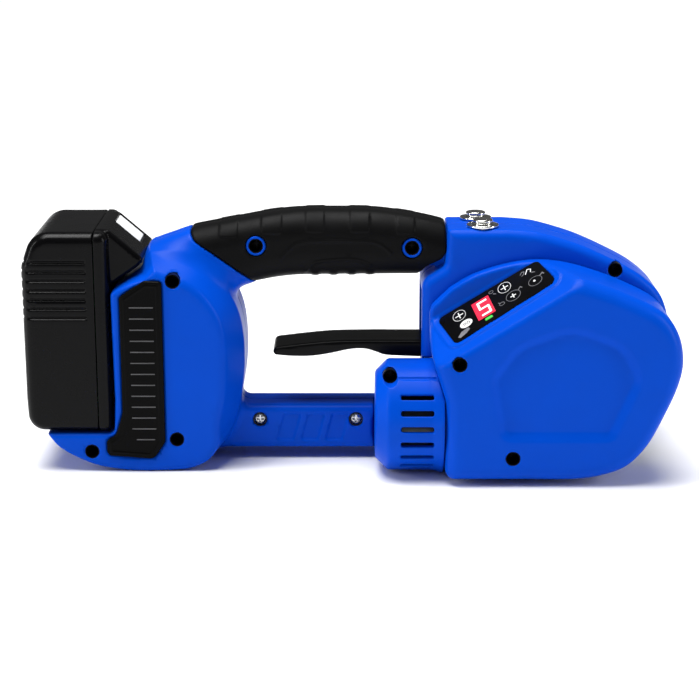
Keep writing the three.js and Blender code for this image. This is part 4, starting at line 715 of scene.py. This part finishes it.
display = piece("digit_window", panel_mesh("digit_window_block", lambda build: prism(
    build, [(23.25, 5.0), (33.75, 5.0), (33.75, 20.0), (23.25, 20.0)], -7.6, -0.25)), red_window, "machine",
                ["led_display"])
softened(display, 0.3, 2)
lamp = piece("charge_lamp", panel_mesh("charge_lamp_block", lambda build: prism(
    build, [tuple(p) for p in rounded([(26.7, 21.2, 0.7), (31.1, 21.2, 0.7), (31.1, 23.0, 0.7), (26.7, 23.0, 0.7)])],
    -7.6, -0.1)), green_window, "machine", ["status_led"])
softened(lamp, 0.2, 2)


def draw_digit(build):
    """The lit segments of one digit, its foot toward the operator."""
    left, right, top, middle, foot = 26.6, 31.6, 7.4, 12.6, 17.8
    band(build, [(right, top), (left, top), (left, middle), (right, middle), (right, foot), (left, foot)], 1.25,
         -0.27, -0.2)


piece("digit_segments", panel_mesh("digit_segments_print", draw_digit), lit_segment, "machine")

# ------------------------------------------------------------------ motor barrel

tube = Space((13, -61, 0), (51, 1, 62), 0.6)
angle = np.arctan2(tube.z - MOTOR_Z, -(tube.y - MOTOR_Y))
radius = np.hypot(tube.y - MOTOR_Y, tube.z - MOTOR_Z)
# The barrel's mouth flares a little where it meets the gear cover
flare = 1.4 * smoothstep((tube.x - 43) / 8.0)
nose = (radius - BARREL_RADIUS + 7 + BARREL_LEFT - tube.x) / 1.414
barrel = both(both(both(radius - BARREL_RADIUS - flare, BARREL_LEFT - tube.x), nose, 0.9), tube.x - BARREL_END)
barrel = both(barrel, 0.4 - tube.z)
hollow = either(both(radius - BARREL_RADIUS + WALL, BARREL_LEFT + 7 - tube.x),
                both(radius - BARREL_RADIUS + 8, BARREL_LEFT + 3 - tube.x))
for k in range(6):
    lean = math.radians((2 - k) * 16.7)
    across = (tube.y - MOTOR_Y) * math.sin(lean) + (tube.z - MOTOR_Z) * math.cos(lean)
    outward = -(tube.y - MOTOR_Y) * math.cos(lean) + (tube.z - MOTOR_Z) * math.sin(lean)
    slot_area = both(both(27.2 - tube.x, tube.x - 44.8), np.abs(across) - 1.45, 0.7)
    barrel = without(barrel, both(slot_area, 15 - outward), 0.25)
# A shallow flute runs along the barrel's shoulder
groove = both(both(24 - tube.x, tube.x - 46.5, 0), np.abs(radius * (angle - math.radians(55))) - 0.6, 0.4)
barrel = without(barrel, both(groove, BARREL_RADIUS - 0.7 - radius), 0.3)
post = both(rod_y(tube, *BARREL_HOLE, BOSS + 0.3, -61, -33.5), barrel)
barrel = either(without(barrel, hollow), post)
keep_out = either(plate(to_outline(GEAR_LINE, tube.x, tube.z) - GAP, tube.y, -200, COVER_BACK + GAP),
                  plate(to_outline(HOUSING_LINE, tube.x, tube.z) - GAP, tube.y, -HEAD_HALF - GAP, 200))
keep_out = either(keep_out, both(CASTING_LEFT - GAP - tube.x, COVER_BACK - tube.y))
barrel = without(barrel, keep_out)
barrel = without(barrel, rod_y(tube, *BARREL_HOLE, HOLE, -70, -37.1), 0.4)
barrel = without(barrel, rod_x(tube, MOTOR_Y, MOTOR_Z, 3.4, 14, 20))
piece("motor_barrel_shell", cast("motor_barrel_skin", tube, barrel), blue_nylon, "machine", ["motor_barrel"])
del barrel, hollow, keep_out, angle, radius

# ------------------------------------------------------------------ battery

pack = Space((-177, -38, 22), (-135, 38, 133), 0.7)
CASE = [(-175.0, 22.6, 10), (SEAM + 20, 22.6, 0), (SEAM + 20, 132.6, 0), (-169.5, 132.6, 13), (-176, 114, 16),
        (-175.8, 40.6, 12)]
case_flat = to_outline(rounded(CASE), pack.x, pack.z)
case = both(case_flat, np.abs(pack.y) - BATTERY_HALF, 6.0)
case = both(case, pack.x - SEAM + GAP / 2, 0.5)
for k in range(7):
    z = 117.1 - 5.1 * k
    # Each finger line is a fine step cut round the case's back and both sides
    line = both(both(np.abs(pack.z - z) - 0.7, pack.x - SEAM + 4.5, 0.3), -np.maximum(case_flat, np.abs(pack.y)
                                                                                     - BATTERY_HALF) - 0.9)
    case = without(case, line, 0.12)
cavity = both(both(case_flat + 2.6, np.abs(pack.y) - BATTERY_HALF + 2.4), pack.x - 0)
piece("battery_case_shell", cast("battery_case_skin", pack, without(case, cavity)), black_abs, "battery",
      ["battery_case"])

front = Space((-138, -38, 22), (-110, 38, 133), 0.6)
NOSE_SIDE = [(SEAM - 20, 101.6, 0), (-129.4, 101.6, 1), (-113.7, 112.8, 1.5), (-111, 116.6, 1.5),
             (-129.5, 132.6, 3), (SEAM - 20, 132.6, 0)]
COVER_SIDE = [(SEAM - 20, 22.6, 0), (-129.4, 22.6, 3.5), (-129.4, 132.6, 5), (SEAM - 20, 132.6, 0)]
lid = both(to_outline(rounded(COVER_SIDE), front.x, front.z), np.abs(front.y) - BATTERY_HALF, 5.0)
nose = both(to_outline(rounded(NOSE_SIDE), front.x, front.z), np.abs(front.y) - 28, 2.5)
lid = either(lid, nose, 1.5)
lid = both(lid, SEAM + GAP / 2 - front.x, 0.5)
lid = without(lid, block(front, -134.8, -120, -21, 21, 17.6, 100.6), 0.5)
# The slope's own axes, for the release button and its recess
SLOPE = Vector((18.5, 0, -16)).normalized()
SLOPE_OUT = Vector((16, 0, 18.5)).normalized()
down = (front.x + 129.5) * SLOPE.x + (front.z - 132.6) * SLOPE.z
out = (front.x + 129.5) * SLOPE_OUT.x + (front.z - 132.6) * SLOPE_OUT.z
lid = without(lid, both(both(both(1.0 - down, down - 19.1), np.abs(front.y - 13.2) - 11.5, 1.2), -9.8 - out), 0.3)
piece("battery_lid", cast("battery_lid_skin", front, lid), black_abs, "battery", ["battery_cover"])

key = Space((-134, 1, 112), (-107, 25.5, 134), 0.4)
down = (key.x + 129.5) * SLOPE.x + (key.z - 132.6) * SLOPE.z
out = (key.x + 129.5) * SLOPE_OUT.x + (key.z - 132.6) * SLOPE_OUT.z
dish = 0.5 * smoothstep(1 - np.hypot((down - 12) / 10, (key.y - 13.2) / 12))
release = both(both(both(1.3 - down, down - 18.8), np.abs(key.y - 13.2) - 11.2, 1.2), both(out + 0.6 + dish, -7 - out), 0.7)
# The key's near-white colour is a painted highlight
piece("battery_release_key", cast("battery_release_skin", key, release), painted_highlight_white, "release",
      ["battery_release_button"])
del case, cavity, lid, nose, release

# ------------------------------------------------------------------ lever

paddle = Space((-43, -15, 56), (67, 26, 77), 0.6)
# Seen from the side it is a slim blade with one finger hollow under its root
LEVER_LINE = np.vstack([eased([(-41.2, 59.6), (-32, 58.8), (-21, 58.9), (-11, 60.4), (0, 62.7), (8, 63), (14.5, 61.2),
                               (19, 59.6), (27, 59.0), (38, 58.6)]),
                        rounded([(38, 58.6, 0), (66, 58, 3), (66, 68, 3), (30, 68, 0)])[1:],
                        eased([(30, 68), (8, 68), (-10, 67.6), (-24, 66.3), (-34, 65.1), (-40.4, 64.2),
                               (-42.2, 62.4), (-42.3, 60.8)])[1:]])
handle = both(to_outline(LEVER_LINE, paddle.x, paddle.z), np.abs(paddle.y) - 13.5, 1.8)
lug = block(paddle, 48, 65, 9.5, 24.3, 59.5, 67, 0.8)
piece("lever_paddle", cast("lever_skin", paddle, either(handle, lug, 1.0)), black_nylon, "rocker_arm", ["lever"])
del handle

# ------------------------------------------------------------------ push buttons


def arc(centre_r, centre_h, radius, start_deg, end_deg, steps=5):
    return [(centre_r + radius * math.cos(math.radians(a)), centre_h + radius * math.sin(math.radians(a)))
            for a in np.linspace(start_deg, end_deg, steps)]


for name, x, y in (("tension", 72.0, -11.0), ("weld", 69.5, 11.0)):
    rim = [(6.9, -12), (6.9, 0.3), (8.3, 0.3), *arc(8.3, 0.7, 0.45, -90, 0), *arc(8.2, 1.2, 0.55, 0, 70),
           (7.4, 1.9), *arc(6.4, 1.75, 0.3, 60, 160), (5.8, 1.5), (5.8, -10)]
    rim_mesh = revolved(f"{name}_rim_turning", rim + [(5.8, -12), (6.9, -12)][:1], (x, y, DECK), "Z", 72)
    build = bmesh.new()
    build.from_mesh(rim_mesh)
    caps = [f for f in build.faces if len(f.verts) > 8]
    bmesh.ops.delete(build, geom=caps, context="FACES_ONLY")
    open_edges = [e for e in build.edges if e.is_boundary]
    bmesh.ops.bridge_loops(build, edges=open_edges)
    bmesh.ops.recalc_face_normals(build, faces=build.faces)
    build.to_mesh(rim_mesh)
    build.free()
    rim_mesh.shade_smooth()
    rim_mesh.set_sharp_from_angle(angle=math.radians(40))
    piece(f"{name}_rim", rim_mesh, polished_steel, "machine", [f"{name}_button_bezel"])
    cap = [(0, -7), (5.45, -7), (5.45, 3.4), *arc(4.6, 3.55, 0.9, 0, 80, 6), (3.6, 4.35), (1.8, 4.2), (0, 4.15)]
    piece(f"{name}_cap", revolved(f"{name}_cap_turning", cap, (x, y, DECK), "Z", 72), polished_steel,
          f"{name}_key", [f"{name}_button"])

# ------------------------------------------------------------------ screws

head = Space((-3.6, -0.2, -3.6), (3.6, 2.7, 3.6), 0.22)
dome = np.maximum(np.hypot(head.x, head.z) - 3.5, head.y - 2.6)
dome = both(both(np.hypot(head.x, head.z) - 3.5, head.y - 2.6, 0.3), 0.0 - head.y + 0.09 * (head.x ** 2 + head.z ** 2)
            - 0.15, 0.5)
cross = either(both(np.abs(head.x) - 1.9, np.abs(head.z) - 0.5), both(np.abs(head.x) - 0.5, np.abs(head.z) - 1.9), 0.4)
dome = without(dome, both(cross, head.y - 1.7), 0.1)
head_mesh = cast("pan_head", head, dome, 0.02)


WELL_TOPS = {f"{name}_fixing": top for name, top in dict(
    tail_screw_top=-36.4, tail_screw_front=-36.4, tail_screw_rear=-36.4, bar_screw_rear=-13.6, bar_screw_front=-13.6,
    grip_screw_rear=-17.0, grip_screw_front=-17.0, housing_screw=-21.5, barrel_screw=-43.2, cover_screw_top=-64.4,
    cover_screw_low=-64.4).items()}


def screw(name, x, z, y, length):
    """A cross-recess pan head with its threaded shank."""
    build = bmesh.new()
    build.from_mesh(head_mesh)
    turns = int((length - 2.6) / 0.8)
    profile = [(1.7, 2.5)]
    for k in range(turns):
        profile += [(1.7, 2.6 + 0.8 * k), (1.35, 3.0 + 0.8 * k)]
    profile += [(1.2, length - 0.4), (0.6, length)]
    shank = revolved(f"{name}_shank", profile, (0, 0, 0), "Y", 12)
    build.from_mesh(shank)
    mesh = bpy.data.meshes.new(f"{name}_turning")
    build.to_mesh(mesh)
    build.free()
    mesh.transform(Matrix.Translation(Vector((x, y, z)) * MM))
    mesh.shade_smooth()
    mesh.set_sharp_from_angle(angle=math.radians(40))
    # Deep-set screws are near black as painted shade for their wells; the shallow bar screws are zinc
    shallow = "bar_" in name
    piece(name, mesh, zinc_plate if shallow else painted_shade_black, "machine", [name.replace("_fixing", "")])
    # A black sleeve lines the well that the head sits in: painted shade that keeps each deep well dark
    rim = WELL_TOPS[name]
    walls = [(3.88, rim - y), (3.88, -0.1), (3.3, -0.1), (3.3, rim - y + 0.5), (3.6, rim - y)]
    sleeve = revolved(f"{name}_painted_shade_ring", walls, (x, y, z), "Y", 40)
    build = bmesh.new()
    build.from_mesh(sleeve)
    bmesh.ops.delete(build, geom=[f for f in build.faces if len(f.verts) > 8], context="FACES_ONLY")
    bmesh.ops.bridge_loops(build, edges=[e for e in build.edges if e.is_boundary])
    bmesh.ops.recalc_face_normals(build, faces=build.faces)
    build.to_mesh(sleeve)
    build.free()
    sleeve.shade_smooth()
    sleeve.set_sharp_from_angle(angle=math.radians(40))
    # The black liner stands for the well's shade: painted shade
    piece(name.replace("_fixing", "_sleeve"), sleeve, black_nylon, "machine")


for name, (x, z), y, length in (
        ("tail_screw_top", LOBE_HOLES[0], -25.0, 24), ("tail_screw_front", LOBE_HOLES[1], -25.0, 24),
        ("tail_screw_rear", LOBE_HOLES[2], -25.0, 24), ("bar_screw_rear", BAR_HOLES[0], -12.8, 24),
        ("bar_screw_front", BAR_HOLES[1], -12.8, 24), ("grip_screw_rear", GRIP_HOLES[0], -12.4, 24),
        ("grip_screw_front", GRIP_HOLES[1], -12.4, 24), ("housing_screw", HOUSING_HOLE, -16.0, 24),
        ("barrel_screw", BARREL_HOLE, -40.0, 4.6), ("cover_screw_top", COVER_HOLES[0], -57.0, 40.6),
        ("cover_screw_low", COVER_HOLES[1], -57.0, 49.0)):
    screw(f"{name}_fixing", x, z, y, length)

# ------------------------------------------------------------------ far side: base, rocker, wheel and weld shoe


def milled(name, s, field, material, body, replaced, thin=0.01):
    return piece(name, cast(f"{name}_skin", s, field, thin), material, body, replaced)


plate_space = Space((45, -22, 0), (169, 65, 7), 0.7)
BASE = [(46, 0, 2.5), (166, 0, 3), (168, 6, 0.5), (46, 6, 1)]
base = both(to_outline(rounded(BASE), plate_space.x, plate_space.z), both(-21.7 - plate_space.y,
                                                                       plate_space.y - OPEN), 0.6)
base = without(base, block(plate_space, 148, 200, -30, 22, -2, 9), 2.0)
for x0, x1 in ((47.4, 66), (124, 152)):
    base = without(base, block(plate_space, x0 - GAP, x1 + GAP, TRACK_NEAR - GAP, TRACK_FAR + GAP, 3.4, 9), 0.3)
milled("ground_base_plate", plate_space, base, ground_steel, "machine", ["base_plate"], 0.02)

rocker_space = Space((39, 24, 8), (119, 42, 73), 0.6)
ROCKER = [(40.5, 9.8, 13), (72, 9.8, 12), (117.5, 13.5, 17), (117.5, 48.5, 17), (84, 50, 16), (70, 72, 4),
          (50, 72, 4), (40.5, 48.8, 12)]
rocker_flat = to_outline(rounded(ROCKER), rocker_space.x, rocker_space.z)
arm = both(both(rocker_flat, ROCKER_NEAR - rocker_space.y, 0.8), rocker_space.y - ROCKER_FAR, 1.6)
# A cast web: the arm's outer face is sunk inside its rim and round its two bosses
web = both(rocker_flat + 4.0, 0 - np.minimum(np.hypot(rocker_space.x - WHEEL[0], rocker_space.z - WHEEL[1]) - 16,
                                          np.hypot(rocker_space.x - CROSS[0], rocker_space.z - CROSS[1]) - 12.5), 2)
arm = without(arm, both(web, ROCKER_FAR - 2.2 - rocker_space.y), 0.8)
arm = without(arm, rod_y(rocker_space, *CROSS, 8.35), 0.4)
arm = without(arm, rod_y(rocker_space, *WHEEL, 12.3), 0.4)
milled("cast_rocker", rocker_space, arm, cast_aluminium, "rocker_arm", ["rocker"])

side = Space((118, 22, 14), (172, 63, 93), 0.7)
SIDE = [(119, 15, 3), (158, 15, 4), (171, 42, 22), (171.5, 70, 16), (160, 88, 16), (130, 92, 10), (119, 84, 8)]
side_out = to_outline(rounded(SIDE), side.x, side.z)
guard = both(both(side_out, 22.3 - side.y), side.y - 62.0, 6.0)
guard = without(guard, both(side_out + WALL, side.y - 62 + WALL, 4.0))
guard = without(guard, block(side, 121.5, 162, 41, 60, 0, 30), 0.6)
# Three cooling ribs raised on the cover's face
for x in (132.0, 141.0, 150.0):
    rib = both(both(both(x - 1.2 - side.x, side.x - x - 1.2), both(40 - side.z, side.z - 76), 1.1), side.y - 62.7, 0.5)
    guard = either(guard, both(rib, 60.5 - side.y), 0.8)
milled("side_guard", side, guard, blue_nylon, "machine", ["side_cover"])

shoe_space = Space((122, 42, 7), (154, 60, 57), 0.5)
yoke = either(block(shoe_space, 125, 151, 44, 56, 8, 56.55, 1.0), block(shoe_space, 123, 153, 43, 59, 8, 12, 0.6), 1.5)
yoke = without(yoke, rod_y(shoe_space, *ECCENTRIC, 7.55), 0.4)
yoke = without(yoke, both(both(np.abs(((shoe_space.x - 123) % 2.6) - 1.3) - 0.35, shoe_space.z - 8.5), 0), 0)
milled("weld_shoe_yoke", shoe_space, yoke, tool_steel, "shoe", ["weld_shoe"], 0.02)


def boxes(name, spans, material, body, replaced, width, segments=2):
    """Machined bars as one bevelled piece; a span is x0, x1, y0, y1, z0, z1."""
    build = bmesh.new()
    for x0, x1, y0, y1, z0, z1 in spans:
        made = bmesh.ops.create_cube(build, size=1.0)
        for vert in made["verts"]:
            vert.co = Vector(((x0 + x1) / 2 + vert.co.x * (x1 - x0), (y0 + y1) / 2 + vert.co.y * (y1 - y0),
                              (z0 + z1) / 2 + vert.co.z * (z1 - z0))) * MM
    bmesh.ops.bevel(build, geom=list(build.edges), offset=width * MM, segments=segments, affect="EDGES",
                    profile=0.6)
    mesh = bpy.data.meshes.new(f"{name}_bars")
    build.to_mesh(mesh)
    build.free()
    mesh.shade_smooth()
    mesh.set_sharp_from_angle(angle=math.radians(35))
    return piece(name, mesh, material, body, replaced)


def serrated(name, x0, x1, pitch, replaced):
    """A hardened jaw whose top is cut into sharp cross ridges."""
    profile = [(x0, 3.7), (x1, 3.7), (x1, 6.5)]
    x = x1 - 0.2
    while x - pitch > x0 + 0.2:
        profile += [(x, 6.5), (x - pitch * 0.55, 5.95), (x - pitch * 0.7, 5.95)]
        x -= pitch
    profile += [(x, 6.5), (x0, 6.5)]
    build = bmesh.new()
    rings = [[build.verts.new(Vector((px, y, pz)) * MM) for px, pz in profile] for y in (TRACK_NEAR, TRACK_FAR)]
    build.faces.new(rings[0])
    build.faces.new(rings[1])
    for i in range(len(profile)):
        j = (i + 1) % len(profile)
        build.faces.new((rings[0][i], rings[0][j], rings[1][j], rings[1][i]))
    bmesh.ops.recalc_face_normals(build, faces=build.faces)
    mesh = bpy.data.meshes.new(f"{name}_ridges")
    build.to_mesh(mesh)
    build.free()
    piece(name, mesh, tool_steel, "machine", [replaced])


serrated("tension_jaw", 47.4, 66, 1.8, "tension_insert")
serrated("weld_jaw", 124, 152, 2.6, "weld_anvil")
boxes("cutter_blade", [(157, 159, 43, 59, 9.4, 22), (156, 160, 45, 55, 20, 40)], tool_steel, "blade", ["cutter"],
      0.35)
boxes("strap_guide_rail", [(160, 166.4, 39, 42, 6.3, 16), (160, 166.4, 34, 42, 6.3, 9)], ground_steel, "machine",
      ["strap_guide"], 0.4)


def feed_wheel():
    """A knurled feed wheel: 36 teeth across its rim, chamfered at both faces."""
    teeth, build = 36, bmesh.new()
    rings = []
    for y, shrink in ((43.5, 1.2), (44.5, 0), (57.5, 0), (58.5, 1.2)):
        ring = []
        for k in range(teeth):
            for share, depth in ((0.0, 0.8), (0.3, 0.1), (0.5, 0.0), (0.7, 0.1)):
                a = 2 * math.pi * (k + share) / teeth
                r = 18.0 - depth - shrink
                ring.append(build.verts.new(Vector((WHEEL[0] + r * math.cos(a), y, WHEEL[1] + r * math.sin(a))) * MM))
        rings.append(ring)
    hubs = []
    for y, radius in ((43.5, 12.5), (45.0, 11.5), (45.0, 6.5), (43.5, 6.0), (43.5, 4.35), (58.5, 4.35), (58.5, 6.0),
                      (57.0, 6.5), (57.0, 11.5), (58.5, 12.5)):
        count = len(rings[0])
        hubs.append([build.verts.new(Vector((WHEEL[0] + radius * math.cos(2 * math.pi * k / count), y,
                                             WHEEL[1] + radius * math.sin(2 * math.pi * k / count))) * MM)
                     for k in range(count)])
    loop = rings + hubs[::-1]
    for a, b in zip(loop, loop[1:] + loop[:1]):
        for i in range(len(a)):
            j = (i + 1) % len(a)
            build.faces.new((a[i], a[j], b[j], b[i]))
    bmesh.ops.recalc_face_normals(build, faces=build.faces)
    mesh = bpy.data.meshes.new("feed_wheel_knurl")
    build.to_mesh(mesh)
    build.free()
    mesh.shade_smooth()
    mesh.set_sharp_from_angle(angle=math.radians(28))
    return mesh


piece("feed_wheel", feed_wheel(), tool_steel, "wheel", ["tension_wheel"])

pin = Space((87, 16, 18), (113, 46, 44), 0.5)
hexagon = rounded([(CROSS[0] + 12 * math.cos(math.radians(60 * k)), CROSS[1] + 12 * math.sin(math.radians(60 * k)),
                    0.6) for k in range(6)])
pin_field = both(both(to_outline(hexagon, pin.x, pin.z), 41.9 - pin.y), pin.y - 45.2, 0.3)
pin_field = both(pin_field, np.hypot(pin.x - CROSS[0], pin.z - CROSS[1]) - 11.6 + np.maximum(pin.y - 43.8, 0), 0.2)
pin_field = either(pin_field, rod_y(pin, *CROSS, 8.0, 16.8, 42.2, 0.5))
pin_field = without(pin_field, both(to_outline(rounded([(CROSS[0] + 3.6 * math.cos(math.radians(60 * k + 30)),
                                                        CROSS[1] + 3.6 * math.sin(math.radians(60 * k + 30)), 0.2)
                                                       for k in range(6)]), pin.x, pin.z), 42.6 - pin.y), 0.2)
milled("pivot_bolt", pin, pin_field, turned_steel, "machine", ["rocker_pivot_pin"], 0.02)

gear_can = [(0, 0), (11.5, 0), (12.0, 0.5), (12.0, 16.9), (11.5, 17.4), (9.5, 17.4), (9.2, 17.0), (7.5, 17.0),
            (7.2, 17.4), (4.4, 17.4), (4.0, 17.9), (4.0, 35.6), (3.2, 36.4), (0, 36.4)]
piece("tension_gear_can", revolved("tension_gear_can_turning", gear_can, (WHEEL[0], ROCKER_NEAR, WHEEL[1]), "Y"),
      tool_steel, "rocker_arm", ["tension_gearbox"])

# ------------------------------------------------------------------ finishes on the frame's own inner parts

INNER = {
    turned_steel: ["motor_shaft", "cross_shaft", "bevel_gear", "eccentric_shaft", "cross_shaft_bearing",
                   "rocker_spring"],
    tool_steel: ["motor_can"],
    cast_aluminium: ["casting", "drive_pulley", "driven_pulley"],
    neoprene: ["drive_belt"],
    black_nylon: ["cooling_fan", "battery_rail_plate"],
    epoxy_board: ["panel_board", "battery_board", "controller_board"],
    shrink_sleeve: ["cell_row_back", "cell_row_front"],
    brass_strip: ["terminal_block"],
}
for material, nodes in INNER.items():
    for name in nodes:
        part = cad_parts[name]
        if not part.material_slots:
            part.data.materials.append(material)
        for holder in part.material_slots:
            holder.material = material

# ------------------------------------------------------------------ studio

paper, _ = start("matt_white_paper")
finished(paper, {"Base Color": linear("#f6f6f6"), "Roughness": 0.9, "Specular IOR Level": 0.1})
floor_mesh = bpy.data.meshes.new("studio_floor")
floor_mesh.from_pydata([(-14, -14, 0), (14, -14, 0), (14, 14, 0), (-14, 14, 0)], [], [(0, 1, 2, 3)])
floor_mesh.materials.append(paper)
floor = bpy.data.objects.new("studio_floor", floor_mesh)
scene.collection.objects.link(floor)

world = bpy.data.worlds.new("soft_room")
world.use_nodes = True
world.node_tree.nodes["Background"].inputs[0].default_value = linear("#ffffff")
world.node_tree.nodes["Background"].inputs[1].default_value = 0.1
scene.world = world


def softbox(name, at, toward, size, power):
    lamp_data = bpy.data.lights.new(name, "AREA")
    lamp_data.shape, lamp_data.energy = "RECTANGLE", power
    lamp_data.size, lamp_data.size_y = size
    lamp_object = bpy.data.objects.new(name, lamp_data)
    lamp_object.location = at
    lamp_object.rotation_euler = (Vector(toward) - Vector(at)).to_track_quat("-Z", "Y").to_euler()
    scene.collection.objects.link(lamp_object)


softbox("overhead_strip", (-0.1, 0.1, 1.0), (0, 0, 0.08), (1.3, 0.1), 6)
softbox("left_strip", (-1.3, -0.35, 0.5), (0, 0, 0.06), (0.12, 0.9), 7)
softbox("right_strip", (1.3, -0.3, 0.5), (0, 0, 0.06), (0.12, 0.9), 7)
sky = bpy.data.lights.new("ceiling_light", "SUN")
sky.energy, sky.angle = 3.3, math.radians(40)
ceiling = bpy.data.objects.new("ceiling_light", sky)
ceiling.rotation_euler = (math.radians(2), math.radians(-9), 0)
scene.collection.objects.link(ceiling)

camera_data = bpy.data.cameras.new("camera")
camera_data.lens, camera_data.sensor_width = 96.7, 36
camera = bpy.data.objects.new("camera", camera_data)
lift = math.radians(15)
camera.location = (0, -1.05 * math.cos(lift), 0.059 + 1.05 * math.sin(lift))
camera.rotation_euler = (math.radians(90) - lift, 0, 0)
scene.collection.objects.link(camera)
scene.camera = camera
scene.view_settings.view_transform = "Standard"
